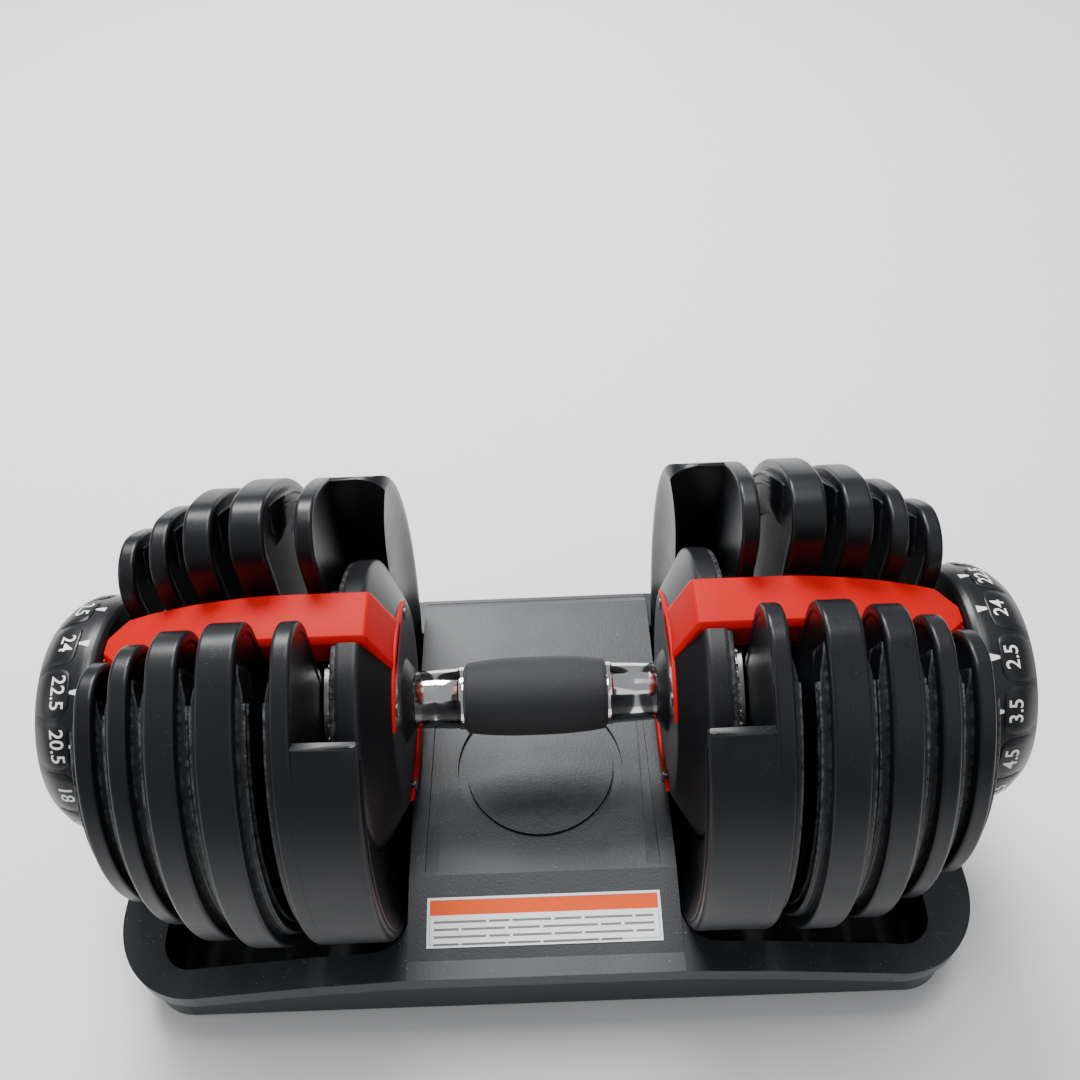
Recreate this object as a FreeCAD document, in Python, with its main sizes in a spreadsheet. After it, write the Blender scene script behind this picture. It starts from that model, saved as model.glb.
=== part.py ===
import FreeCAD
import Part
import Sketcher
import math
import os
import re

# Adjustable dumbbell resting in its storage tray.
# +X runs along the handle, -Y is the user's side, +Z is up.
# The origin is on the floor, under the handle's middle.
# Positions along the handle are distances from its middle; each end repeats them with side = +1 or -1.

doc = FreeCAD.newDocument("AdjustableDumbbell")
Vector = FreeCAD.Vector
Rotation = FreeCAD.Rotation
Placement = FreeCAD.Placement
SIDES = {"right": 1, "left": -1}

SIZES = {
    # handle
    "axisHeight": 121.0,
    "axleRadius": 6.0,
    "axleEnd": 190.0,
    "gripHalf": 31.3,
    "gripRadius": 17.5,
    "gripEndRadius": 15.4,
    "gripSeatRadius": 11.0,
    "collarInnerRadius": 14.0,
    "collarOuterRadius": 12.5,
    "collarEnd": 53.7,
    "tubeEnd": 60.0,
    "tubeTenonRadius": 10.0,
    # inner end cover
    "coverFace": 58.0,
    "coverFaceRadius": 45.0,
    "coverHubRadius": 18.5,
    "coverRimStart": 69.5,
    "coverRadius": 64.0,
    "coverEnd": 78.0,
    "coverWall": 3.0,
    "coverHubCore": 16.0,
    "backplateThickness": 2.0,
    "crescentInner": 36.0,
    "crescentThickness": 1.2,
    "crescentDrop": 51.6,
    "screwCircle": 40.5,
    "screwHeadRadius": 3.0,
    "screwHeadHeight": 0.8,
    "screwRadius": 1.6,
    "screwLength": 12.0,
    "screwAngle": 38.0,
    # bridge over the selector
    "bridgeHalf": 13.0,
    "bridgeWall": 3.0,
    "bridgeTop": 65.0,
    "bridgeSlantFoot": 42.0,
    "bridgeSlantTop": 66.5,
    "bridgeLevelEnd": 110.0,
    "bridgeMiddle": 139.0,
    "bridgeMiddleTop": 61.0,
    "bridgeOuter": 160.0,
    "bridgeOuterTop": 55.5,
    "bridgeEnd": 177.6,
    "bridgeEndTop": 49.0,
    "bridgeSideDrop": 13.0,
    "bridgeEndDrop": 6.0,
    "bridgeEyeThickness": 1.8,
    "bridgeSkirtStart": 77.0,
    "bridgeSkirtLength": 12.5,
    "bridgeSkirtBottom": 51.0,
    "bridgeChamfer": 1.6,
    # selector
    "sleeveRadius": 11.0,
    "sleeveStart": 80.4,
    "runningFit": 0.05,
    "indexStart": 81.4,
    "indexThickness": 1.8,
    "indexRadius": 50.0,
    "indexToothDepth": 4.0,
    "indexTeeth": 60,
    "selectorRadius": 42.0,
    "selectorNotch": 6.0,
    "selectorThickness": 2.6,
    "selectorGap": 3.2,
    "settingAngle": 24.0,
    "hookAngle": 31.0,
    "hookGap": 1.0,
    "hookDepth": 5.5,
    "hookWidth": 6.0,
    # dial
    "dialStart": 178.0,
    "dialEnd": 204.5,
    "dialRadius": 52.0,
    "dialFaceRadius": 44.5,
    "dialRimStart": 184.0,
    "dialRimEnd": 192.0,
    "dialWall": 4.5,
    "dialWeb": 3.5,
    "dialHubRadius": 15.0,
    "dialHubEnd": 190.2,
    "capRadius": 38.8,
    "capStart": 200.0,
    "capThickness": 3.0,
    "capLedge": 2.8,
    "washerRadius": 10.0,
    "washerThickness": 1.6,
    "boltHeadRadius": 6.5,
    "boltHeadHeight": 4.5,
    "boltRadius": 3.0,
    "boltLength": 18.0,
    "axialGap": 0.2,
    # lock pin
    "lockPinRadius": 2.0,
    "lockPinDrop": 58.6,
    "lockPinNose": 61.9,
    "lockPinEnd": 85.4,
    "lockFlagStart": 83.6,
    "lockFlagWidth": 1.8,
    "lockFlagTip": 47.4,
    "lockCollarStart": 70.0,
    "lockCollarRadius": 3.4,
    "lockCollarLength": 1.5,
    "springWire": 0.4,
    "springRadius": 2.9,
    "springPitch": 1.8,
    # weight plates, 5 is next to the hand and 1 is next to the dial
    "plate5Start": 86.0,
    "plate5Thickness": 7.5,
    "plate5Radius": 101.5,
    "plate4Start": 106.0,
    "plate4Thickness": 14.0,
    "plate4Radius": 102.0,
    "plate3Start": 128.0,
    "plate3Thickness": 11.5,
    "plate3Radius": 98.5,
    "plate2Start": 148.0,
    "plate2Thickness": 7.5,
    "plate2Radius": 91.5,
    "plate1Start": 165.0,
    "plate1Thickness": 7.0,
    "plate1Radius": 82.0,
    "channelHalf": 16.0,
    "hornFillet": 18.0,
    "rimFillet": 2.0,
    "lobeStart": 62.0,
    "lobeRadius": 101.0,
    "lobeRecess": 66.5,
    "lobeLedge": 69.0,
    # tray
    "trayHalfLength": 198.0,
    "trayHalfDepth": 103.0,
    "trayCorner": 45.0,
    "lipThickness": 10.0,
    "lipTop": 62.0,
    "lipQuarter": 100.0,
    "lipQuarterTop": 58.0,
    "lipShoulder": 150.0,
    "lipShoulderTop": 50.0,
    "lipEndTop": 40.0,
    "skirtInset": 8.0,
    "skirtCorner": 22.0,
    "trayWall": 3.5,
    "deckHalf": 60.0,
    "deckTop": 70.0,
    "deckFrontBreak": 60.0,
    "deckFrontEnd": 95.0,
    "deckRearBreak": 92.0,
    "wellEnd": 174.0,
    "wellHalfDepth": 90.0,
    "wellFloor": 15.0,
    "wellCorner": 16.0,
    "wellWall": 3.0,
    "combPlace": 46.0,
    "combThickness": 4.0,
    "combRise": 7.0,
    "combGap": 0.8,
    "seatGap": 0.3,
    "ringRadius": 39.5,
    "ringWidth": 4.5,
    "ringDepth": 2.0,
    "ringOffset": 7.0,
    "flutePlace": 50.0,
    "fluteRear": 45.0,
    "fluteFront": 58.0,
    "fluteRearHalf": 1.2,
    "fluteFrontHalf": 3.0,
    "fluteDepth": 2.2,
    "lugWidth": 12.0,
    "lugTop": 68.0,
    "lugBottom": 40.0,
    "lugReach": 1.6,
    "footRadius": 11.0,
    "footHeight": 3.0,
    "footPlace": 130.0,
    "footSpread": 72.0,
    "footBoss": 14.0,
    "labelWidth": 103.0,
    "labelDepth": 21.0,
    "labelThickness": 0.4,
    "labelFront": 90.0,
}

sheet = doc.addObject("Spreadsheet::Sheet", "Sizes")
for row, (alias, value) in enumerate(SIZES.items(), start=1):
    sheet.set(f"A{row}", alias)
    sheet.set(f"B{row}", str(value))
    sheet.setAlias(f"B{row}", alias)
doc.recompute()

# The settings in kilograms, in the order in which they pass the hooks,
# and the plates that each setting carries.
CARRIED = [
    ("24", "12345"),
    ("2.5", ""),
    ("3.5", "1"),
    ("4.5", "2"),
    ("5.5", "12"),
    ("6.5", "3"),
    ("8", "13"),
    ("9", "4"),
    ("10", "14"),
    ("11.5", "24"),
    ("13.5", "34"),
    ("16", "45"),
    ("18", "245"),
    ("20.5", "345"),
    ("22.5", "2345"),
]
PLATES = (5, 4, 3, 2, 1)
MATHS = ("sqrt", "atan")
SPRING_STEPS = 12
pieces = []


def size(alias):
    return float(sheet.get(alias))


def bound(text):
    """A formula in the sheet's own words, with each word pointed at its cell."""
    return re.sub(
        r"[A-Za-z]\w*",
        lambda word: word[0] if word[0] in MATHS else f"Sizes.{word[0]}",
        str(text),
    )


def bind(thing, **formulas):
    for name, text in formulas.items():
        thing.setExpression(name.replace("_", "."), bound(text))


def keep(thing, label):
    """Marks a finished sub-part; its label names its file."""
    thing.Label = label
    pieces.append(thing)
    return thing


def new_body(name, at_axis=True):
    body = doc.addObject("PartDesign::Body", name)
    if at_axis:
        bind(body, Placement_Base_z="axisHeight")
    return body


def new_sketch(body, plane, offset=None, turn=None):
    """A sketch on one of the body's own planes, moved along the plane's normal by a formula."""
    sketch = body.newObject("Sketcher::SketchObject", f"{body.Name}Sketch")
    origin = next(f for f in body.Origin.OriginFeatures if f.Role == plane)
    sketch.AttachmentSupport = [(origin, "")]
    sketch.MapMode = "FlatFace"
    if turn:
        sketch.AttachmentOffset = Placement(Vector(), Rotation(Vector(0, 0, 1), 1))
        bind(sketch, AttachmentOffset_Rotation_Angle=turn)
    if offset:
        bind(sketch, AttachmentOffset_Base_z=offset)
    return sketch


def polygon(sketch, corners):
    """A closed outline whose corners are pairs of formulas."""
    count = len(corners)
    first = sketch.GeometryCount
    spots = [Vector(10 + i, 10 + i * i, 0) for i in range(count)]
    for i in range(count):
        sketch.addGeometry(Part.LineSegment(spots[i], spots[(i + 1) % count]))
    for i in range(count):
        link = ("Coincident", first + i, 2, first + (i + 1) % count, 1)
        sketch.addConstraint(Sketcher.Constraint(*link))
    for i, corner in enumerate(corners):
        for way, text, start in zip("XY", corner, spots[i]):
            at = sketch.addConstraint(Sketcher.Constraint(f"Distance{way}", -1, 1, first + i, 1, start))
            sketch.setExpression(f"Constraints[{at}]", bound(text))


def circle(sketch, radius, across="0", up="0"):
    index = sketch.addGeometry(Part.Circle(Vector(1, 1, 0), Vector(0, 0, 1), 5))
    at = sketch.addConstraint(Sketcher.Constraint("Radius", index, 5))
    sketch.setExpression(f"Constraints[{at}]", bound(radius))
    for way, text in (("X", across), ("Y", up)):
        at = sketch.addConstraint(Sketcher.Constraint(f"Distance{way}", -1, 1, index, 3, 1))
        sketch.setExpression(f"Constraints[{at}]", bound(text))


def rectangle(sketch, left, right, low, high):
    polygon(sketch, [(left, low), (right, low), (right, high), (left, high)])


def grow(body, sketch, length, reverse=False, middle=False, cut=False):
    """A pad, or a pocket when cut is true, of a formula's length."""
    feature = body.newObject("PartDesign::Pocket" if cut else "PartDesign::Pad", f"{body.Name}Step")
    feature.Profile = sketch
    feature.Midplane = middle
    feature.Reversed = reverse
    bind(feature, Length=length)
    return feature


def spin(body, sketch):
    """A revolution about the handle's axis."""
    feature = body.newObject("PartDesign::Revolution", f"{body.Name}Turn")
    feature.Profile = sketch
    feature.ReferenceAxis = (sketch, ["H_Axis"])
    feature.Angle = 360
    return feature


def soften(body, radius, wanted, kind="Fillet"):
    """Rounds or bevels the edges of the body's last feature for which wanted(edge) is true."""
    doc.recompute()
    base = body.Tip
    names = [f"Edge{i}" for i, edge in enumerate(base.Shape.Edges, start=1) if wanted(edge)]
    feature = body.newObject(f"PartDesign::{kind}", f"{body.Name}{kind}")
    feature.Base = (base, names)
    bind(feature, **{"Radius" if kind == "Fillet" else "Size": radius})
    return feature


def turned(label, side, corners):
    """A piece of revolution: corners are (distance along the handle, radius)."""
    body = new_body(label)
    sketch = new_sketch(body, "XZ_Plane")
    polygon(sketch, [(f"({along}) * {side}", radius) for along, radius in corners])
    spin(body, sketch)
    return keep(body, label)


def disc_corners(start, thickness, inner, outer):
    end = f"{start} + {thickness}"
    return [(start, inner), (end, inner), (end, outer), (start, outer)]


def runs_along(edge, axis, length=None):
    """True for a straight edge parallel to an axis."""
    if edge.Curve.TypeId != "Part::GeomLine":
        return False
    way = edge.Vertexes[1].Point.sub(edge.Vertexes[0].Point)
    return way.Length > 0 and abs(way.dot(axis)) > 0.999 * way.Length


def notched_wheel(label, side, start, thickness, steps, bore):
    """A flat wheel whose edge steps between radii: steps are (angle from the top towards the front, radius)."""
    edges = []
    count = len(steps)

    def spot(angle, radius):
        turn = math.radians(angle)
        return Vector(0, -side * radius * math.sin(turn), radius * math.cos(turn))

    for i, (angle, radius) in enumerate(steps):
        stop, after = steps[(i + 1) % count]
        stop += 360 if stop <= angle else 0
        middle = spot((angle + stop) / 2, radius)
        edges.append(Part.Arc(spot(angle, radius), middle, spot(stop, radius)).toShape())
        if abs(after - radius) > 1e-6:
            edges.append(Part.makeLine(spot(stop, radius), spot(stop, after)))
    face = Part.Face(Part.Wire(Part.__sortEdges__(edges)))
    wheel = face.extrude(Vector(side * thickness, 0, 0))
    hole = Part.makeCylinder(bore, thickness + 2, Vector(-side, 0, 0), Vector(side, 0, 0))
    feature = doc.addObject("Part::Feature", label)
    feature.Shape = wheel.cut(hole)
    feature.Placement = Placement(Vector(side * start, 0, size("axisHeight")), Rotation())
    return keep(feature, label)


# handle


def handle():
    turned(
        "handle_axle",
        1,
        [("-axleEnd", "boltRadius"), ("-axleEnd", "axleRadius"), ("axleEnd", "axleRadius"), ("axleEnd", "boltRadius"),
         ("axleEnd - boltLength", "boltRadius"), ("axleEnd - boltLength", "0"),
         ("boltLength - axleEnd", "0"), ("boltLength - axleEnd", "boltRadius")],
    )
    half = [
        ("gripHalf", "gripSeatRadius"),
        ("gripHalf", "collarInnerRadius"),
        ("collarEnd", "collarOuterRadius"),
        ("collarEnd", "tubeTenonRadius"),
        ("tubeEnd", "tubeTenonRadius"),
        ("tubeEnd", "axleRadius"),
    ]
    mirrored = [(f"-({along})", radius) for along, radius in reversed(half)]
    turned("handle_tube", 1, mirrored + half)
    turned(
        "handle_grip",
        1,
        [("-gripHalf", "gripSeatRadius"), ("gripHalf", "gripSeatRadius"), ("gripHalf", "gripEndRadius"),
         ("gripHalf * 0.66", "gripEndRadius * 0.4 + gripRadius * 0.6"), ("gripHalf * 0.3", "gripRadius"),
         ("-gripHalf * 0.3", "gripRadius"), ("-gripHalf * 0.66", "gripEndRadius * 0.4 + gripRadius * 0.6"),
         ("-gripHalf", "gripEndRadius")],
    )


# end cover, its back plate, trims, screws and lock pin


def cover_outline():
    """The cover's outside as a solid of revolution, from the hub's nose to the rim."""
    return [
        ("collarEnd", "tubeTenonRadius"),
        ("collarEnd", "collarOuterRadius + 0.6"),
        ("coverFace", "coverHubRadius"),
        ("coverFace", "coverFaceRadius"),
        ("coverRimStart - 1.5", "coverRadius - 1.5"),
        ("coverRimStart", "coverRadius"),
        ("coverEnd", "coverRadius"),
    ]


def inner_cover(name, side):
    body = new_body(f"inner_cover_{name}")
    outline = cover_outline() + [
        ("coverEnd", "coverRadius - coverWall"),
        ("coverRimStart", "coverRadius - coverWall"),
        ("coverFace + coverWall + 0.5", "coverFaceRadius - 0.5"),
        ("coverFace + coverWall + 0.5", "coverHubCore"),
        ("coverEnd", "coverHubCore"),
        ("coverEnd", "axleRadius"),
        ("tubeEnd", "axleRadius"),
        ("tubeEnd", "tubeTenonRadius"),
    ]
    sketch = new_sketch(body, "XZ_Plane")
    polygon(sketch, [(f"({along}) * {side}", radius) for along, radius in outline])
    spin(body, sketch)
    guide = new_sketch(body, "YZ_Plane", f"{side} * (coverFace + coverWall + 1)")
    circle(guide, "lockPinRadius + 2", "0", "-lockPinDrop")
    grow(body, guide, "coverEnd - coverFace - coverWall - 1", reverse=side < 0)
    bore = new_sketch(body, "YZ_Plane")
    circle(bore, "lockPinRadius + runningFit", "0", "-lockPinDrop")
    grow(body, bore, "dialEnd", reverse=side > 0, cut=True)
    pocket = new_sketch(body, "YZ_Plane", f"{side} * (coverEnd + 1)")
    circle(pocket, "lockCollarRadius + 0.3", "0", "-lockPinDrop")
    grow(body, pocket, "coverEnd + 1 - lockCollarStart + 2.8", reverse=side < 0, cut=True)
    slot = new_sketch(body, "YZ_Plane")
    rectangle(slot, "-bridgeHalf - 0.1", "bridgeHalf + 0.1", "bridgeSkirtBottom - 1", "coverRadius + 5")
    grow(body, slot, "dialEnd", reverse=side > 0, cut=True)
    for way in (-1, 1):
        for spread in (-1, 1):
            hole = new_sketch(body, "YZ_Plane", turn=f"{spread} * screwAngle")
            circle(hole, "screwRadius", "0", f"{way} * screwCircle")
            grow(body, hole, "coverFace + coverWall + 1", reverse=side > 0, cut=True)
    return keep(body, f"inner_cover_{name}")


def cover_backplate(name, side):
    corners = disc_corners("coverEnd", "backplateThickness", "axleRadius", "coverRadius - 1")
    body = turned(f"cover_backplate_{name}", side, corners)
    bore = new_sketch(body, "YZ_Plane")
    circle(bore, "lockPinRadius + runningFit", "0", "-lockPinDrop")
    grow(body, bore, "dialEnd", reverse=side > 0, cut=True)
    slot = new_sketch(body, "YZ_Plane")
    rectangle(slot, "-bridgeHalf - 0.1", "bridgeHalf + 0.1", "bridgeSkirtBottom - 1", "coverRadius + 5")
    grow(body, slot, "dialEnd", reverse=side > 0, cut=True)
    return body


def crescent(body, side, way):
    """A raised moon on the cover's face: way is +1 at the top and -1 at the bottom."""
    start = f"{side} * (coverFace - crescentThickness)"
    moon = new_sketch(body, "YZ_Plane", start)
    circle(moon, "coverFaceRadius")
    grow(body, moon, "crescentThickness", reverse=side < 0)
    inside = new_sketch(body, "YZ_Plane", start)
    circle(inside, "crescentInner + crescentDrop", "0", f"{-way} * crescentDrop")
    grow(body, inside, "crescentThickness", reverse=side > 0, cut=True)


def screw_holes(body, side, way):
    for spread in (-1, 1):
        hole = new_sketch(body, "YZ_Plane", turn=f"{spread} * screwAngle")
        circle(hole, "screwRadius", "0", f"{way} * screwCircle")
        grow(body, hole, "coverFace + 1", reverse=side > 0, cut=True)


def lower_trim(name, side):
    body = new_body(f"lower_trim_{name}")
    crescent(body, side, -1)
    screw_holes(body, side, -1)
    return keep(body, f"lower_trim_{name}")


def bridge(name, side):
    body = new_body(f"bridge_{name}")
    crescent(body, side, 1)
    screw_holes(body, side, 1)

    def outline(corners):
        sketch = new_sketch(body, "XZ_Plane")
        polygon(sketch, [(f"({along}) * {side}", height) for along, height in corners])
        return sketch

    top = [
        ("bridgeLevelEnd", "bridgeTop"),
        ("bridgeMiddle", "bridgeMiddleTop"),
        ("bridgeOuter", "bridgeOuterTop"),
        ("bridgeEnd", "bridgeEndTop"),
    ]
    drops = ["bridgeSideDrop", "bridgeSideDrop", "bridgeSideDrop * 0.85", "bridgeEndDrop"]
    under = [(along, f"{height} - {drop}") for (along, height), drop in zip(top, drops)]
    beam = [("coverFace - crescentThickness", "bridgeSlantFoot"), ("bridgeSlantTop", "bridgeTop")]
    beam += top + under[::-1] + [("coverEnd", "bridgeSkirtBottom"), ("coverFace + 8", "bridgeSkirtBottom")]
    beam += [("coverFace + 4", "bridgeSlantFoot")]
    grow(body, outline(beam), "2 * bridgeHalf", middle=True)
    seat = [("coverFace", "0"), ("coverFace", "coverFaceRadius"), ("coverRimStart - 1.5", "coverRadius - 1.5")]
    seat += [("coverRimStart", "coverRadius"), ("coverRimStart", "0")]
    groove = body.newObject("PartDesign::Groove", f"{body.Name}Seat")
    groove.Profile = outline(seat)
    groove.ReferenceAxis = (groove.Profile[0], ["H_Axis"])
    groove.Angle = 360
    skirt = new_sketch(body, "XZ_Plane")
    start, end = f"{side} * bridgeSkirtStart", f"{side} * (bridgeSkirtStart + bridgeSkirtLength)"
    rectangle(skirt, start, end, "bridgeSkirtBottom", "bridgeTop - 2")
    grow(body, skirt, "2 * bridgeHalf - 1", middle=True)
    eye = new_sketch(body, "YZ_Plane", f"{side} * (bridgeEnd - bridgeEyeThickness)")
    rectangle(eye, "-bridgeHalf + 1", "bridgeHalf - 1", "0", "bridgeEndTop - 1")
    grow(body, eye, "bridgeEyeThickness", reverse=side < 0)
    ring = new_sketch(body, "YZ_Plane", f"{side} * (bridgeEnd - bridgeEyeThickness)")
    circle(ring, "sleeveRadius + 5")
    grow(body, ring, "bridgeEyeThickness", reverse=side < 0)
    hollow = [("coverEnd + backplateThickness", "0"), ("coverEnd + backplateThickness", "bridgeTop - bridgeWall")]
    hollow += [(along, f"{height} - bridgeWall") for along, height in top[:-1]]
    hollow += [("bridgeEnd - bridgeEyeThickness", "bridgeEndTop - bridgeWall")]
    hollow += [("bridgeEnd - bridgeEyeThickness", "0")]
    grow(body, outline(hollow), "2 * (bridgeHalf - bridgeWall)", middle=True, cut=True)
    bore = new_sketch(body, "YZ_Plane", f"{side} * (bridgeEnd + 1)")
    circle(bore, "sleeveRadius + axialGap")
    grow(body, bore, "bridgeEyeThickness + 2", reverse=side < 0, cut=True)
    heights = [size(word) for word in ("bridgeTop", "bridgeMiddleTop", "bridgeOuterTop", "bridgeEndTop")]

    def upper_rim(edge):
        box = edge.BoundBox
        beside = box.YLength < 0.01 and abs(abs(box.YMin) - size("bridgeHalf")) < 0.01
        at_top = min(abs(box.ZMax - z) for z in heights) < 0.01 and min(abs(box.ZMin - z) for z in heights) < 0.01
        return beside and at_top and box.XLength > 5

    soften(body, "bridgeChamfer", upper_rim, "Chamfer")
    return keep(body, f"bridge_{name}")


def cover_screws(name, side):
    screws = []
    for way in (-1, 1):
        for spread in (-1, 1):
            turn = math.radians(size("screwAngle") * spread)
            across, up = size("screwCircle") * math.sin(turn), way * size("screwCircle") * math.cos(turn)
            face = size("coverFace") - size("crescentThickness")
            spot = Vector(side * face, across, up)
            inward = Vector(side, 0, 0)
            head = Part.makeCylinder(size("screwHeadRadius"), size("screwHeadHeight"), spot, -inward)
            shank = Part.makeCylinder(size("screwRadius"), size("screwLength"), spot, inward)
            slit = Part.makeBox(0.6, 3.6, 0.9)
            slit.translate(Vector(-0.3, -1.8, -0.45))
            slit.translate(spot - inward * size("screwHeadHeight"))
            screws.append(head.fuse(shank).cut(slit).removeSplitter())
    feature = doc.addObject("Part::Feature", f"cover_screws_{name}")
    feature.Shape = Part.makeCompound(screws)
    feature.Placement = Placement(Vector(0, 0, size("axisHeight")), Rotation())
    return keep(feature, f"cover_screws_{name}")


def lock_pin(name, side):
    body = new_body(f"lock_pin_{name}")

    def rod(radius, start, length):
        sketch = new_sketch(body, "YZ_Plane", f"{side} * ({start})")
        circle(sketch, radius, "0", "-lockPinDrop")
        grow(body, sketch, length, reverse=side < 0)

    rod("lockPinRadius", "lockPinNose", "lockPinEnd - lockPinNose")
    rod("lockCollarRadius", "lockCollarStart", "lockCollarLength")
    flag = new_sketch(body, "YZ_Plane", f"{side} * lockFlagStart")
    rectangle(flag, "-0.8", "0.8", "-lockPinDrop", "-lockFlagTip")
    grow(body, flag, "lockFlagWidth", reverse=side < 0)
    return keep(body, f"lock_pin_{name}")


def lock_spring(name, side):
    """A coil round the lock pin, drawn in short straight lengths."""
    wire = size("springWire")
    start = size("lockCollarStart") + size("lockCollarLength") + wire + 0.05
    length = size("coverEnd") - start - wire - 0.05
    reach = size("springRadius") - wire
    count = int(SPRING_STEPS * length / size("springPitch"))
    spots = []
    for i in range(count + 1):
        turn = 2 * math.pi * i / SPRING_STEPS
        spots.append(Vector(reach * math.cos(turn), reach * math.sin(turn), length * i / count))
    section = Part.Wire(Part.Edge(Part.Circle(spots[0], spots[1].sub(spots[0]).normalize(), wire)))
    feature = doc.addObject("Part::Feature", f"lock_spring_{name}")
    feature.Shape = Part.makePolygon(spots).makePipeShell([section], True, False, 1)
    spot = Vector(side * start, 0, size("axisHeight") - size("lockPinDrop"))
    feature.Placement = Placement(spot, Rotation(Vector(0, 1, 0), 90 * side))
    return keep(feature, f"lock_spring_{name}")


# selector and dial


def selector(name, side):
    outer = size("indexRadius")
    pitch = 360 / size("indexTeeth")
    teeth = []
    for i in range(int(size("indexTeeth"))):
        teeth.append((i * pitch - pitch / 4, outer - size("indexToothDepth")))
        teeth.append((i * pitch + pitch / 4, outer))
    bore = size("sleeveRadius")
    notched_wheel(f"index_disc_{name}", side, size("indexStart"), size("indexThickness"), teeth, bore)
    turned(
        f"selector_sleeve_{name}",
        side,
        [("sleeveStart", "axleRadius + runningFit"), ("dialHubEnd - 4", "axleRadius + runningFit"),
         ("dialHubEnd - 4", "sleeveRadius"), ("sleeveStart", "sleeveRadius")],
    )
    step = size("settingAngle")
    for plate in PLATES:
        steps = []
        for i, (_, carried) in enumerate(CARRIED):
            held = str(plate) in carried
            radius = size("selectorRadius") - (0 if held else size("selectorNotch"))
            steps.append((size("hookAngle") + (i - 0.5) * step, radius))
        start = size(f"plate{plate}Start") + size(f"plate{plate}Thickness") + selector_gap(plate)
        thickness = size("selectorThickness") if plate > 1 else size("selectorThickness") - 0.4
        notched_wheel(f"selector_disc_{plate}_{name}", side, start, thickness, steps, bore)


def selector_gap(plate):
    """The gap between a plate and its selector disc; the last disc is close to its plate."""
    return size("selectorGap") / (1 if plate == 5 else 1.8 if plate > 1 else 4)


def dial(name, side):
    turned(
        f"dial_{name}",
        side,
        [
            ("dialStart", "sleeveRadius"),
            ("dialHubEnd - 4", "sleeveRadius"),
            ("dialHubEnd - 4", "axleRadius + runningFit"),
            ("dialHubEnd", "axleRadius + runningFit"),
            ("dialHubEnd", "dialHubRadius"),
            ("dialStart + dialWeb", "dialHubRadius"),
            ("dialStart + dialWeb", "dialRadius - dialWall"),
            ("dialRimEnd", "dialRadius - dialWall"),
            ("capStart - 3", "dialFaceRadius + 1.5 - dialWall + 2"),
            ("capStart - 3", "capRadius - capLedge"),
            ("capStart", "capRadius - capLedge"),
            ("capStart", "capRadius + 0.1"),
            ("dialEnd", "capRadius + 0.1"),
            ("dialEnd", "dialFaceRadius"),
            ("dialEnd - 1.5", "dialFaceRadius + 2"),
            ("dialEnd - 6", "dialRadius - 2.5"),
            ("dialRimEnd", "dialRadius"),
            ("dialRimStart", "dialRadius"),
            ("dialStart + 2", "dialRadius - 1.5"),
            ("dialStart", "dialRadius - 4"),
        ],
    )
    cap = disc_corners("capStart", "capThickness", "0", "capRadius")
    turned(f"dial_cap_{name}", side, cap)
    washer = disc_corners("dialHubEnd + axialGap", "washerThickness", "boltRadius + runningFit", "washerRadius")
    turned(f"end_washer_{name}", side, washer)
    seat = "dialHubEnd + axialGap + washerThickness"
    turned(
        f"end_bolt_{name}",
        side,
        [("axleEnd - boltLength", "0"), ("axleEnd - boltLength", "boltRadius"), (seat, "boltRadius"),
         (seat, "boltHeadRadius"), (f"{seat} + boltHeadHeight", "boltHeadRadius"), (f"{seat} + boltHeadHeight", "0")],
    )


# weight plates


def plate_base(name, side, plate):
    start, thickness, radius = (f"plate{plate}{word}" for word in ("Start", "Thickness", "Radius"))
    body = new_body(f"plate_{plate}_{name}")
    disc = new_sketch(body, "YZ_Plane", f"{side} * {start}")
    circle(disc, radius)
    grow(body, disc, thickness, reverse=side < 0)
    foot = new_sketch(body, "YZ_Plane", f"{side} * ({start} + {thickness} + 1)")
    circle(foot, "channelHalf")
    grow(body, foot, f"{thickness} + 2", reverse=side < 0, cut=True)
    channel = new_sketch(body, "YZ_Plane", f"{side} * ({start} + {thickness} + 1)")
    rectangle(channel, "-channelHalf", "channelHalf", "0", f"{radius} + 5")
    grow(body, channel, f"{thickness} + 2", reverse=side < 0, cut=True)
    tip = size("channelHalf")

    def horn_corner(edge):
        box = edge.BoundBox
        beside = abs(abs(box.YMin) - tip) < 0.01 and box.YLength < 0.01
        return runs_along(edge, Vector(1, 0, 0)) and beside and box.ZMin > 3 * tip

    soften(body, "hornFillet", horn_corner)
    faces = [side * size(start), side * (size(start) + size(thickness))]

    def rim(edge):
        box = edge.BoundBox
        return box.XLength < 0.01 and min(abs(box.XMin - x) for x in faces) < 0.01

    soften(body, "rimFillet", rim)
    hook = new_sketch(body, "YZ_Plane", f"{side} * ({start} + {thickness} - 1)", turn=f"{side} * hookAngle")
    low = "selectorRadius + hookGap"
    rectangle(hook, "-hookWidth / 2", "hookWidth / 2", low, f"{low} + hookDepth")
    disc_end = selector_gap(plate) + size("selectorThickness")
    grow(body, hook, f"{disc_end + 1:.3f}", reverse=side < 0)
    return body


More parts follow.
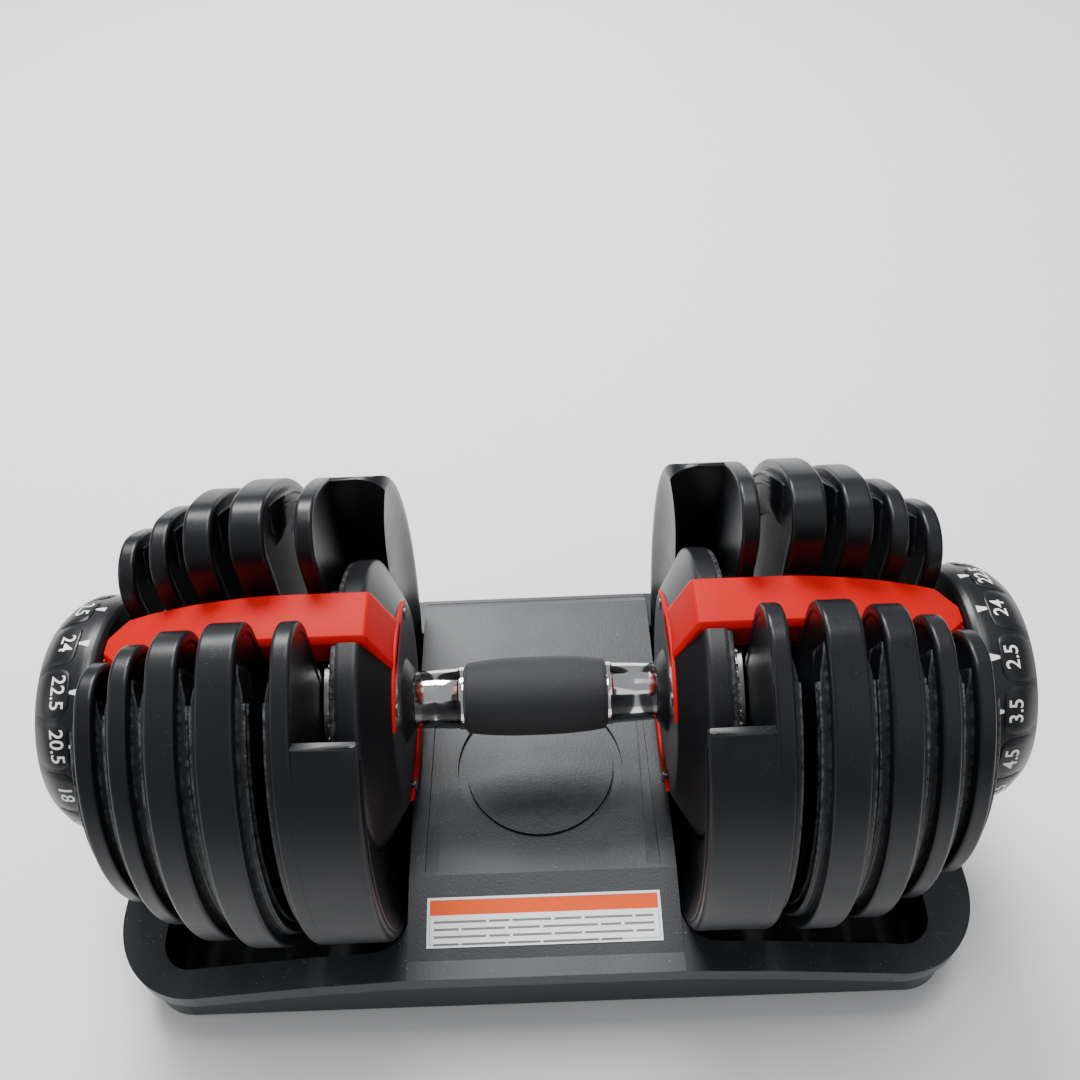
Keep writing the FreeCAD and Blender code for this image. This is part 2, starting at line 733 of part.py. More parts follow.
def inner_lobe(body, side):
    """The innermost plate's thick part round the end cover: full height behind, cut off at a ledge in front."""
    depth = "plate5Start - lobeStart"
    lobe = new_sketch(body, "YZ_Plane", f"{side} * lobeStart")
    circle(lobe, "lobeRadius")
    grow(body, lobe, depth, reverse=side < 0)

    def clear(draw, *corners):
        sketch = new_sketch(body, "YZ_Plane", f"{side} * plate5Start")
        draw(sketch, *corners)
        grow(body, sketch, f"{depth} + 1", reverse=side < 0, cut=True)

    clear(circle, "lobeRecess")
    clear(rectangle, "-lobeRecess", "lobeRecess", "0", "lobeRadius + 5")
    clear(rectangle, "-lobeRadius - 5", "0", "lobeLedge", "lobeRadius + 5")
    face = side * size("lobeStart")

    def outer_rim(edge):
        on_face = edge.BoundBox.XLength < 0.01 and abs(edge.BoundBox.XMin - face) < 0.01
        return on_face and edge.Curve.TypeId == "Part::GeomCircle" and edge.Curve.Radius > size("lobeRecess") + 1

    soften(body, "rimFillet", outer_rim)


def plate(name, side, number):
    body = plate_base(name, side, number)
    if number == 5:
        inner_lobe(body, side)
    return keep(body, f"plate_{number}_{name}")


# tray


def lip_top():
    """The top of the lip from the middle outwards, as (distance along the handle, height)."""
    return [
        ("0", "lipTop"),
        ("deckHalf", "lipTop"),
        ("lipQuarter", "lipQuarterTop"),
        ("lipShoulder", "lipShoulderTop"),
    ]


def lip_height(along):
    """A formula for the lip's height past its shoulder."""
    fall = "(lipShoulderTop - lipEndTop) / (trayHalfLength - lipShoulder)"
    return f"lipShoulderTop - ({along} - lipShoulder) * {fall}"


def both_ways(line):
    """A line from the middle outwards, repeated on the other side of the middle."""
    return [(f"-({along})", height) for along, height in reversed(line[1:])] + line


def tray():
    body = new_body("tray", at_axis=False)

    def block(corners, depth, plane="XZ_Plane", cut=False):
        sketch = new_sketch(body, plane)
        polygon(sketch, corners)
        grow(body, sketch, depth, middle=True, cut=cut)

    def upright(least):
        return lambda edge: runs_along(edge, Vector(0, 0, 1)) and min(corner_reach(edge)) > least

    def corner_reach(edge):
        box = edge.BoundBox
        return abs(box.XMin) / size("trayHalfLength"), abs(box.YMin) / size("trayHalfDepth")

    skirt_end = "trayHalfLength - skirtInset"
    skirt_line = [(along, f"{height} - lipThickness / 2") for along, height in lip_top()]
    skirt_line += [(skirt_end, f"{lip_height(skirt_end)} - lipThickness / 2")]
    base = [(f"-({skirt_end})", "footHeight"), (skirt_end, "footHeight")]
    block(base + both_ways(skirt_line)[::-1], "2 * (trayHalfDepth - skirtInset)")
    soften(body, "skirtCorner", upright(0.8))
    edge_line = lip_top() + [("trayHalfLength", "lipEndTop")]
    lower = [(along, f"{height} - lipThickness") for along, height in edge_line]
    block(both_ways(edge_line) + both_ways(lower)[::-1], "2 * trayHalfDepth")
    soften(body, "trayCorner", upright(0.99))
    deck = [
        ("-deckFrontEnd", "lipTop - lipThickness / 2"),
        ("-deckFrontEnd", "lipTop"),
        ("-deckFrontBreak", "deckTop"),
        ("deckRearBreak", "deckTop"),
        ("trayHalfDepth - 2", "lipTop"),
        ("trayHalfDepth - 2", "lipTop - lipThickness / 2"),
    ]
    block(deck, "2 * deckHalf", plane="YZ_Plane")
    corner = "skirtCorner / 2"
    for shorter, narrower in (("0", corner), (corner, "0")):
        inside = f"{skirt_end} - trayWall - {shorter}"
        cavity_line = [(along, f"{height} - trayWall") for along, height in lip_top()]
        cavity_line += [(inside, f"{lip_height(inside)} - trayWall")]
        base = [(f"-({inside})", "footHeight - 1"), (inside, "footHeight - 1")]
        depth = f"2 * (trayHalfDepth - skirtInset - trayWall - {narrower})"
        block(base + both_ways(cavity_line)[::-1], depth, cut=True)
    for side in (-1, 1):
        start, end = "deckHalf - wellWall", "wellEnd + wellWall"
        line = [(start, "wellFloor - wellWall"), (start, "lipTop - 1"), ("lipQuarter", "lipQuarterTop - 1")]
        line += [("lipShoulder", "lipShoulderTop - 1"), (end, f"{lip_height(end)} - 1"), (end, "wellFloor - wellWall")]
        block([(f"({along}) * {side}", height) for along, height in line], "2 * (wellHalfDepth + wellWall)")
        for spread in (-1, 1):
            boss = new_sketch(body, "XY_Plane", "footHeight")
            circle(boss, "footBoss", f"{side} * footPlace", f"{spread} * footSpread")
            grow(body, boss, "wellFloor - footHeight - 1")
    for side in (-1, 1):
        well = new_sketch(body, "XY_Plane", "deckTop + 1")
        rectangle(well, f"{side} * deckHalf", f"{side} * wellEnd", "-wellHalfDepth", "wellHalfDepth")
        grow(body, well, "deckTop + 1 - wellFloor", cut=True)
    sides = (size("deckHalf"), size("wellEnd"))

    def well_corner(edge):
        box = edge.BoundBox
        reach = (abs(box.XMin), abs(box.YMin))
        on_wall = min(abs(reach[0] - x) for x in sides) < 0.01 and abs(reach[1] - size("wellHalfDepth")) < 0.01
        return runs_along(edge, Vector(0, 0, 1)) and on_wall

    soften(body, "wellCorner", well_corner)
    for side in (-1, 1):
        combs(body, side)
        lug = new_sketch(body, "YZ_Plane", f"{side} * (deckHalf - 1)")
        rectangle(lug, "-lugWidth / 2", "lugWidth / 2", "lugBottom", "lugTop")
        grow(body, lug, "lugReach + 1", reverse=side < 0)
        flute = new_sketch(body, "XY_Plane", "deckTop + 1")
        place = f"{side} * flutePlace"
        rear = [(f"{place} - fluteRearHalf", "fluteRear"), (f"{place} + fluteRearHalf", "fluteRear")]
        front = [(f"{place} + fluteFrontHalf", "-fluteFront"), (f"{place} - fluteFrontHalf", "-fluteFront")]
        polygon(flute, rear + front)
        grow(body, flute, "fluteDepth + 1", cut=True)
    ring = new_sketch(body, "XY_Plane", "deckTop + 1")
    circle(ring, "ringRadius", "0", "-ringOffset")
    circle(ring, "ringRadius - ringWidth", "0", "-ringOffset")
    grow(body, ring, "ringDepth + 1", cut=True)
    return keep(body, "tray")


def combs(body, side):
    """Toothed ribs across a well, with a seat for each plate and a divider between neighbours."""

    def seat(radius):
        return f"axisHeight - sqrt({radius} * {radius} - combPlace * combPlace) - seatGap"

    line = [("deckHalf - 1", seat("lobeRadius")), ("plate5Start - combGap", seat("lobeRadius"))]
    for number in PLATES:
        start, thickness, radius = (f"plate{number}{word}" for word in ("Start", "Thickness", "Radius"))
        level = seat(radius)
        divider = f"{level} + combRise"
        if number != 5:
            line.append((f"{start} - combGap", divider))
        line += [(f"{start} - combGap", level), (f"{start} + {thickness} + combGap", level)]
        if number != 1:
            line.append((f"{start} + {thickness} + combGap", divider))
    line += [("wellEnd + 1", seat("plate1Radius")), ("wellEnd + 1", "wellFloor - 1"), ("deckHalf - 1", "wellFloor - 1")]
    for spread in (-1, 1):
        sketch = new_sketch(body, "XZ_Plane", f"{spread} * combPlace")
        polygon(sketch, [(f"({along}) * {side}", height) for along, height in line])
        grow(body, sketch, "combThickness", reverse=spread < 0)


def feet():
    pads = []
    for side in (-1, 1):
        for spread in (-1, 1):
            pad = doc.addObject("Part::Cylinder", "FootPad")
            bind(pad, Radius="footRadius", Height="footHeight")
            bind(pad, Placement_Base_x=f"{side} * footPlace", Placement_Base_y=f"{spread} * footSpread")
            pads.append(pad)
    group = doc.addObject("Part::Compound", "Feet")
    group.Links = pads
    return keep(group, "feet")


def label():
    """A blank notice sheet lying on the deck's front slope."""
    notice = doc.addObject("Part::Box", "Label")
    rise, run = "(deckTop - lipTop)", "(deckFrontEnd - deckFrontBreak)"
    bind(notice, Length="labelWidth", Width="labelDepth", Height="labelThickness")
    notice.Placement = Placement(Vector(), Rotation(Vector(1, 0, 0), 1))
    bind(notice, Placement_Rotation_Angle=f"atan({rise} / {run})")
    bind(notice, Placement_Base_x="-labelWidth / 2", Placement_Base_y="-labelFront")
    bind(notice, Placement_Base_z=f"lipTop + (deckFrontEnd - labelFront) * {rise} / {run}")
    return keep(notice, "notice_label")


# build, check and write

handle()
for name, side in SIDES.items():
    inner_cover(name, side)
    cover_backplate(name, side)
    lower_trim(name, side)
    bridge(name, side)
    cover_screws(name, side)
    lock_pin(name, side)
    lock_spring(name, side)
    selector(name, side)
    dial(name, side)
    for number in PLATES:
        plate(name, side, number)
tray()
feet()
label()
doc.recompute()

for thing in doc.Objects:
    if "Invalid" in thing.State or "Error" in thing.State:
        raise RuntimeError(f"{thing.Name} ({thing.Label}) failed: {thing.State}")
os.makedirs("parts", exist_ok=True)
for piece in pieces:
    shape = piece.Shape
    if shape.isNull() or not shape.isValid() or not shape.Solids:
        raise RuntimeError(f"{piece.Label} has no valid solid")
    shape.exportStep(f"parts/{piece.Label}.step")
    print(piece.Label, len(shape.Solids), round(shape.Volume / 1000, 1), "cm3")
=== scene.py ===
import bpy
import bmesh
import math
from mathutils import Matrix, Vector


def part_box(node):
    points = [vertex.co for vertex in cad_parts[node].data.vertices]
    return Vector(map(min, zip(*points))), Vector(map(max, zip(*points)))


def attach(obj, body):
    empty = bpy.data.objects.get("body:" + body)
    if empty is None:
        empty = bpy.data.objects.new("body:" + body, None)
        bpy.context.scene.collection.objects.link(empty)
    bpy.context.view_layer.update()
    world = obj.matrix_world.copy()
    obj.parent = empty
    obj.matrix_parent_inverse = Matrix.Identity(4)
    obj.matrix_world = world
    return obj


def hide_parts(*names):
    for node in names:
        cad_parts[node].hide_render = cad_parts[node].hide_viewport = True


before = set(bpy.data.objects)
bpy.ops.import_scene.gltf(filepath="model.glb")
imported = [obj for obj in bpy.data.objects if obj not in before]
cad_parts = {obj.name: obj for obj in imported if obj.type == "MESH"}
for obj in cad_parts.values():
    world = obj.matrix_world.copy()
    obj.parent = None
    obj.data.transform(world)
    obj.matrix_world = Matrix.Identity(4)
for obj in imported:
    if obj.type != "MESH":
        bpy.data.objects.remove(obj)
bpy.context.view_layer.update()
mm = 0.001
sides = {"right": 1, "left": -1}
axisZ = sum(corner[2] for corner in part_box("handle_grip")) / 2  # height of the handle's middle line


def clamp01(value):
    return max(0.0, min(1.0, value))


def smoothStep(low, high, value):
    t = clamp01((value - low) / (high - low))
    return t * t * (3 - 2 * t)


# swaps each corner of a 2D line for a short curve
def roundCorners(points, radius, steps=4):
    result = []
    count = len(points)
    for i, corner in enumerate(points):
        corner = Vector(corner)
        before, after = Vector(points[i - 1]) - corner, Vector(points[(i + 1) % count]) - corner
        reach = min(radius, before.length * 0.45, after.length * 0.45)
        start, end = corner + before.normalized() * reach, corner + after.normalized() * reach
        for k in range(steps + 1):
            t = k / steps
            spot = start * (1 - t) ** 2 + corner * 2 * t * (1 - t) + end * t ** 2
            result.append(tuple(spot))
    return result


# vertices and faces of a skin over rings that have the same number of points
def loft(rings, capEnds=True):
    verts = [tuple(p) for ring in rings for p in ring]
    size = len(rings[0])
    faces = []
    for i in range(len(rings) - 1):
        a, b = i * size, (i + 1) * size
        for k in range(size):
            n = (k + 1) % size
            faces.append((a + k, a + n, b + n, b + k))
    if capEnds:
        faces.append(tuple(range(size))[::-1])
        faces.append(tuple(range(len(verts) - size, len(verts))))
    return verts, faces


def joinParts(parts):
    verts, faces = [], []
    for partVerts, partFaces in parts:
        base = len(verts)
        verts += partVerts
        faces += [tuple(base + i for i in face) for face in partFaces]
    return verts, faces


def makePiece(name, part, material, body, replaced=(), sharpAngle=40):
    verts, faces = part
    mesh = bpy.data.meshes.new(name)
    mesh.from_pydata(verts, [], faces)
    grid = bmesh.new()
    grid.from_mesh(mesh)
    bmesh.ops.remove_doubles(grid, verts=grid.verts, dist=0.002 * mm)
    bmesh.ops.recalc_face_normals(grid, faces=grid.faces)
    grid.to_mesh(mesh)
    grid.free()
    mesh.shade_smooth()
    mesh.set_sharp_from_angle(angle=math.radians(sharpAngle))
    piece = bpy.data.objects.new(name, mesh)
    bpy.context.scene.collection.objects.link(piece)
    mesh.materials.append(material)
    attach(piece, body)
    if replaced:
        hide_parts(*replaced)
    return piece


def addBevel(piece, width, segments=3, angle=35):
    bevel = piece.modifiers.new("softEdges", "BEVEL")
    bevel.width = width
    bevel.segments = segments
    bevel.limit_method = "ANGLE"
    bevel.angle_limit = math.radians(angle)
    bevel.harden_normals = True


# spins (distance along the handle, radius) in millimetres round the handle's middle line
def lathe(profile, side, steps=128):
    rings = []
    for along, radius in profile:
        ring = []
        for k in range(steps):
            turn = 2 * math.pi * k / steps
            ring.append((side * along * mm, radius * mm * math.sin(turn), axisZ + radius * mm * math.cos(turn)))
        rings.append(ring)
    rings.append(rings[0])
    return loft(rings, capEnds=False)


# extrudes a (depth, height over the handle's line) outline in millimetres along the handle
def prism(outline, start, end, side):
    rings = [[(side * x * mm, y * mm, axisZ + z * mm) for y, z in outline] for x in (start, end)]
    return loft(rings)


def nodeIn(tree, kind, place=(0, 0), **values):
    node = tree.nodes.new(kind)
    node.location = place
    for key, value in values.items():
        if hasattr(node, key):
            setattr(node, key, value)
        else:
            node.inputs[key].default_value = value
    return node


def newGroup(name, inputs, outputs):
    group = bpy.data.node_groups.new(name, "ShaderNodeTree")
    for label, kind, value in inputs:
        socket = group.interface.new_socket(label, in_out="INPUT", socket_type=kind)
        socket.default_value = value
    for label, kind in outputs:
        group.interface.new_socket(label, in_out="OUTPUT", socket_type=kind)
    source = nodeIn(group, "NodeGroupInput", (-900, 0))
    sink = nodeIn(group, "NodeGroupOutput", (700, 0))
    return group, source, sink


def rampBetween(tree, low, high, place, source):
    ramp = nodeIn(tree, "ShaderNodeMapRange", place)
    ramp.inputs["From Min"].default_value = low
    ramp.inputs["From Max"].default_value = high
    tree.links.new(source, ramp.inputs["Value"])
    return ramp.outputs["Result"]


def mathNode(tree, operation, place, *sources, clamp=False):
    node = nodeIn(tree, "ShaderNodeMath", place, operation=operation, use_clamp=clamp)
    for socket, source in zip(node.inputs, sources):
        if isinstance(source, float):
            socket.default_value = source
        else:
            tree.links.new(source, socket)
    return node.outputs[0]


def textureAt(tree, kind, place, coordinates, scale=None, **values):
    node = nodeIn(tree, kind, place, **values)
    tree.links.new(coordinates.outputs["Object"], node.inputs["Vector"])
    if scale is not None:
        tree.links.new(scale, node.inputs["Scale"])
    return node


def mixColors(tree, place, factor, first, second):
    mix = nodeIn(tree, "ShaderNodeMix", place, data_type="RGBA")
    tree.links.new(factor, mix.inputs["Factor"])
    tree.links.new(first, mix.inputs[6])
    tree.links.new(second, mix.inputs[7])
    return mix.outputs[2]


# light scuffs where an edge stands out, broken up by noise
def buildEdgeWear():
    group, source, sink = newGroup(
        "edgeWear",
        [("Base Color", "NodeSocketColor", (0.03, 0.03, 0.03, 1)),
         ("Wear Color", "NodeSocketColor", (0.4, 0.4, 0.42, 1)),
         ("Amount", "NodeSocketFloat", 0.6), ("Edge Start", "NodeSocketFloat", 0.52),
         ("Edge Full", "NodeSocketFloat", 0.6), ("Scale", "NodeSocketFloat", 220.0)],
        [("Color", "NodeSocketColor"), ("Mask", "NodeSocketFloat")],
    )
    link, given = group.links.new, source.outputs
    geometry = nodeIn(group, "ShaderNodeNewGeometry", (-700, 200))
    place = nodeIn(group, "ShaderNodeTexCoord", (-700, -200))
    edge = nodeIn(group, "ShaderNodeMapRange", (-450, 200))
    link(geometry.outputs["Pointiness"], edge.inputs["Value"])
    link(given["Edge Start"], edge.inputs["From Min"])
    link(given["Edge Full"], edge.inputs["From Max"])
    noise = textureAt(group, "ShaderNodeTexNoise", (-450, -100), place, given["Scale"], Detail=6.0,
                      Roughness=0.75)
    breakUp = rampBetween(group, 0.42, 0.62, (-200, -100), noise.outputs["Fac"])
    mask = mathNode(group, "MULTIPLY", (0, 100), edge.outputs["Result"], breakUp)
    strength = mathNode(group, "MULTIPLY", (180, 100), mask, given["Amount"], clamp=True)
    link(mixColors(group, (420, 0), strength, given["Base Color"], given["Wear Color"]), sink.inputs["Color"])
    link(strength, sink.inputs["Mask"])
    return group


# moulded grain: a colour mottle, a roughness that varies and a bump height
def buildGrain():
    group, source, sink = newGroup(
        "mouldedGrain",
        [("Color", "NodeSocketColor", (0.03, 0.03, 0.03, 1)), ("Mottle", "NodeSocketFloat", 0.25),
         ("Mottle Scale", "NodeSocketFloat", 28.0), ("Roughness", "NodeSocketFloat", 0.45),
         ("Roughness Spread", "NodeSocketFloat", 0.12), ("Grain Scale", "NodeSocketFloat", 900.0)],
        [("Color", "NodeSocketColor"), ("Roughness", "NodeSocketFloat"), ("Height", "NodeSocketFloat")],
    )
    link, given = group.links.new, source.outputs
    place = nodeIn(group, "ShaderNodeTexCoord", (-700, 0))
    cloud = textureAt(group, "ShaderNodeTexNoise", (-450, 200), place, given["Mottle Scale"], Detail=5.0,
                      Roughness=0.6)
    centred = mathNode(group, "SUBTRACT", (-250, 200), cloud.outputs["Fac"], 0.5)
    amount = mathNode(group, "MULTIPLY", (-70, 260), centred, given["Mottle"])
    shift = mathNode(group, "MULTIPLY_ADD", (100, 260), amount, 2.0, 1.0)
    shade = nodeIn(group, "ShaderNodeVectorMath", (300, 260), operation="SCALE")
    link(given["Color"], shade.inputs[0])
    link(shift, shade.inputs["Scale"])
    link(shade.outputs[0], sink.inputs["Color"])
    rough = mathNode(group, "MULTIPLY_ADD", (100, 60), centred, given["Roughness Spread"], given["Roughness"])
    link(rough, sink.inputs["Roughness"])
    cells = textureAt(group, "ShaderNodeTexVoronoi", (-450, -160), place, given["Grain Scale"])
    fine = textureAt(group, "ShaderNodeTexNoise", (-450, -400), place, given["Grain Scale"], Detail=3.0)
    height = mathNode(group, "ADD", (-150, -250), cells.outputs["Distance"], fine.outputs["Fac"])
    link(height, sink.inputs["Height"])
    return group


# pale dust that settles on what faces up, in specks and soft patches
def buildDust():
    group, source, sink = newGroup(
        "settledDust",
        [("Color", "NodeSocketColor", (0.03, 0.03, 0.03, 1)),
         ("Dust Color", "NodeSocketColor", (0.42, 0.42, 0.43, 1)),
         ("Haze", "NodeSocketFloat", 0.12), ("Specks", "NodeSocketFloat", 0.5),
         ("Speck Scale", "NodeSocketFloat", 700.0)],
        [("Color", "NodeSocketColor"), ("Mask", "NodeSocketFloat")],
    )
    link, given = group.links.new, source.outputs
    geometry = nodeIn(group, "ShaderNodeNewGeometry", (-800, 300))
    split = nodeIn(group, "ShaderNodeSeparateXYZ", (-620, 300))
    link(geometry.outputs["Normal"], split.inputs[0])
    upward = rampBetween(group, 0.1, 0.95, (-440, 300), split.outputs["Z"])
    place = nodeIn(group, "ShaderNodeTexCoord", (-800, -100))
    patches = textureAt(group, "ShaderNodeTexNoise", (-600, 60), place, Scale=14.0, Detail=4.0)
    patch = rampBetween(group, 0.35, 0.7, (-420, 60), patches.outputs["Fac"])
    haze = mathNode(group, "MULTIPLY", (-230, 160), patch, given["Haze"])
    dots = textureAt(group, "ShaderNodeTexVoronoi", (-600, -200), place, given["Speck Scale"], Randomness=1.0)
    dot = rampBetween(group, 0.13, 0.06, (-420, -200), dots.outputs["Distance"])
    sieve = textureAt(group, "ShaderNodeTexNoise", (-600, -450), place, Scale=90.0, Detail=2.0)
    kept = rampBetween(group, 0.5, 0.62, (-420, -450), sieve.outputs["Fac"])
    specks = mathNode(group, "MULTIPLY", (-230, -250), dot, kept)
    speckAmount = mathNode(group, "MULTIPLY", (-60, -250), specks, given["Specks"])
    both = mathNode(group, "MAXIMUM", (100, 0), haze, speckAmount)
    facing = mathNode(group, "MULTIPLY", (260, 60), both, upward, clamp=True)
    link(mixColors(group, (460, 0), facing, given["Color"], given["Dust Color"]), sink.inputs["Color"])
    link(facing, sink.inputs["Mask"])
    return group


wornRoughness = 0.85  # where dust or wear covers a surface
reliefDepth = 0.1 * mm  # of the moulded grain
edgeWear = buildEdgeWear()
mouldedGrain = buildGrain()
settledDust = buildDust()


def useGroup(tree, group, place, **values):
    node = tree.nodes.new("ShaderNodeGroup")
    node.node_tree = group
    node.location = place
    for key, value in values.items():
        node.inputs[key.replace("_", " ")].default_value = value
    return node


# moulded, painted or rubber surface: grain, then edge wear, then dust
def wornPlastic(name, color, roughness, wear=None, grain=None, dust=None, bump=0.12, specular=0.5, metallic=0.0,
                sheen=0.0):
    material = bpy.data.materials.new(name)
    material.use_nodes = True
    tree = material.node_tree
    link = tree.links.new
    shader = tree.nodes["Principled BSDF"]
    shader.inputs["Metallic"].default_value = metallic
    shader.inputs["Specular IOR Level"].default_value = specular
    shader.inputs["Sheen Weight"].default_value = sheen
    grainValues = {"Color": (*color, 1), "Roughness": roughness, **(grain or {})}
    grainNode = useGroup(tree, mouldedGrain, (-900, 100), **grainValues)
    wearNode = useGroup(tree, edgeWear, (-650, 200), **(wear or {"Amount": 0.0}))
    dustNode = useGroup(tree, settledDust, (-400, 250), **(dust or {"Haze": 0.0, "Specks": 0.0}))
    link(grainNode.outputs["Color"], wearNode.inputs["Base Color"])
    link(wearNode.outputs["Color"], dustNode.inputs["Color"])
    link(dustNode.outputs["Color"], shader.inputs["Base Color"])
    worn = mathNode(tree, "MAXIMUM", (-400, -60), wearNode.outputs["Mask"], dustNode.outputs["Mask"])
    rough = nodeIn(tree, "ShaderNodeMix", (-200, 0), data_type="FLOAT")
    link(worn, rough.inputs["Factor"])
    link(grainNode.outputs["Roughness"], rough.inputs[2])
    rough.inputs[3].default_value = wornRoughness
    link(rough.outputs[0], shader.inputs["Roughness"])
    relief = nodeIn(tree, "ShaderNodeBump", (-200, -250), Strength=bump, Distance=reliefDepth)
    link(grainNode.outputs["Height"], relief.inputs["Height"])
    link(relief.outputs["Normal"], shader.inputs["Normal"])
    return material


# wear starts and is full at these sharpnesses of an edge
def wearOf(amount, start, full, scale, color):
    return {"Amount": amount, "Edge_Start": start, "Edge_Full": full, "Scale": scale, "Wear_Color": (*color, 1)}


def grainOf(mottle, mottleScale, spread, grainScale):
    return {"Mottle": mottle, "Mottle_Scale": mottleScale, "Roughness_Spread": spread,
            "Grain_Scale": grainScale}


plateGrain = grainOf(0.25, 30.0, 0.22, 1300.0)
plateDust = {"Haze": 0.01, "Specks": 0.22, "Speck_Scale": 600.0}
paperGrain = {"Mottle": 0.08, "Mottle_Scale": 120.0}

finishes = {
    "plate": wornPlastic(
        "plateSkin", (0.006, 0.007, 0.009), 0.34,
        wear=wearOf(0.7, 0.53, 0.60, 320.0, (0.17, 0.18, 0.19)),
        grain=plateGrain,
        dust=plateDust, bump=0.12, specular=0.3),
    "lobe": wornPlastic(
        "lobeSkin", (0.006, 0.007, 0.009), 0.35,
        grain=plateGrain,
        dust=plateDust, bump=0.12, specular=0.3),
    "cover": wornPlastic(
        "coverPlastic", (0.006, 0.0065, 0.008), 0.38,
        wear=wearOf(0.45, 0.525, 0.58, 300.0, (0.17, 0.17, 0.18)),
        grain=grainOf(0.3, 26.0, 0.2, 1200.0),
        dust={"Haze": 0.015, "Specks": 0.35, "Speck_Scale": 800.0}, bump=0.14, specular=0.32),
    "dial": wornPlastic(
        "dialPlastic", (0.006, 0.0065, 0.008), 0.33,
        wear=wearOf(0.15, 0.54, 0.62, 260.0, (0.15, 0.15, 0.16)),
        grain={"Mottle": 0.2, "Grain_Scale": 1500.0}, dust={"Haze": 0.005, "Specks": 0.1}, bump=0.08,
        specular=0.35),
    "red": wornPlastic(
        "bridgeRed", (0.49, 0.0032, 0.0032), 0.50,
        wear=wearOf(0.18, 0.54, 0.64, 240.0, (0.6, 0.12, 0.10)),
        grain=grainOf(0.05, 18.0, 0.15, 1400.0),
        dust={"Haze": 0.0, "Specks": 0.06, "Dust_Color": (0.6, 0.22, 0.20, 1)}, bump=0.06, specular=0.10),
    "grip": wornPlastic(
        "gripRubber", (0.014, 0.015, 0.018), 0.72,
        wear=wearOf(0.2, 0.53, 0.6, 400.0, (0.10, 0.10, 0.11)),
        grain={"Mottle": 0.3, "Mottle_Scale": 60.0, "Grain_Scale": 1800.0},
        dust={"Haze": 0.02, "Specks": 0.3}, bump=0.4,
        specular=0.4, sheen=0.1),
    "tray": wornPlastic(
        "trayPlastic", (0.013, 0.016, 0.020), 0.42,
        wear=wearOf(0.1, 0.54, 0.62, 200.0, (0.16, 0.17, 0.18)),
        grain=grainOf(0.22, 12.0, 0.2, 1000.0),
        dust={"Haze": 0.04, "Specks": 0.8, "Speck_Scale": 520.0}, bump=0.35, specular=0.35),
    "foot": wornPlastic("footRubber", (0.02, 0.02, 0.021), 0.8, bump=0.3),
    "print": wornPlastic("whitePrint", (0.82, 0.83, 0.83), 0.5, grain=paperGrain, bump=0.02),
    "orange": wornPlastic(
        "noticeOrange", (0.80, 0.085, 0.006), 0.5, grain={"Mottle": 0.06, "Mottle_Scale": 120.0}, bump=0.02,
        specular=0.2),
    "ink": wornPlastic("noticeInk", (0.16, 0.16, 0.17), 0.6, grain=paperGrain, bump=0.02),
    "chrome": wornPlastic(
        "polishedChrome", (0.80, 0.80, 0.81), 0.07, metallic=1.0, bump=0.015,
        grain=grainOf(0.03, 40.0, 0.08, 200.0)),
    "steel": wornPlastic(
        "zincSteel", (0.62, 0.61, 0.59), 0.26, metallic=1.0, bump=0.08,
        grain=grainOf(0.12, 60.0, 0.2, 600.0)),
    "darkSteel": wornPlastic(
        "blackenedSteel", (0.10, 0.10, 0.105), 0.4, metallic=1.0, bump=0.08,
        grain={"Mottle": 0.2, "Mottle_Scale": 80.0, "Grain_Scale": 700.0}),
}
print("finishes ready")

view = {  # millimetres from the handle's middle, degrees, lens in millimetres
    "place": (8.35, -259.4, 397.8), "yaw": -0.69, "down": 48.44, "roll": -2.76, "lens": 34.82, "sensor": 36,
}


def buildCamera():
    camera = bpy.data.cameras.new("studioCamera")
    camera.lens = view["lens"]
    camera.sensor_width = view["sensor"]
    camera.clip_start = 0.01
    rig = bpy.data.objects.new("studioCamera", camera)
    x, y, z = view["place"]
    rig.location = (x * mm, y * mm, z * mm + axisZ)
    tilt = Matrix.Rotation(math.radians(90 - view["down"]), 4, "X")
    turn = Matrix.Rotation(math.radians(-view["yaw"]), 4, "Z")
    roll = Matrix.Rotation(math.radians(view["roll"]), 4, "Z")
    rig.rotation_euler = (turn @ tilt @ roll).to_euler()
    bpy.context.scene.collection.objects.link(rig)
    bpy.context.scene.camera = rig


floorSizes = {"reach": 6.0, "color": (0.86, 0.86, 0.86), "roughness": 0.7}


def buildFloor():
    mesh = bpy.data.meshes.new("studioFloor")
    reach = floorSizes["reach"]
    corners = [(-reach, -reach, 0), (reach, -reach, 0), (reach, reach, 0), (-reach, reach, 0)]
    mesh.from_pydata(corners, [], [(0, 1, 2, 3)])
    floor = bpy.data.objects.new("studioFloor", mesh)
    bpy.context.scene.collection.objects.link(floor)
    paint = wornPlastic("floorPaint", floorSizes["color"], floorSizes["roughness"],
                        grain={"Mottle": 0.01, "Mottle_Scale": 3.0}, bump=0.0)
    mesh.materials.append(paint)


lamps = {  # name: (place, size, watts); each looks at the object's middle
    "keyLamp": ((-0.35, 1.2, 1.7), (0.9, 0.6), 62),
    "fillLamp": ((0.9, -1.0, 1.3), (1.2, 1.2), 3),
    "topLamp": ((0.0, 0.25, 2.0), (0.7, 0.7), 24),
    "sideLamp": ((-1.5, -0.3, 0.9), (0.8, 1.2), 5),
}


room = {"color": (0.95, 0.97, 1.0, 1), "strength": 0.38, "aim": (0, 0, 0.1)}


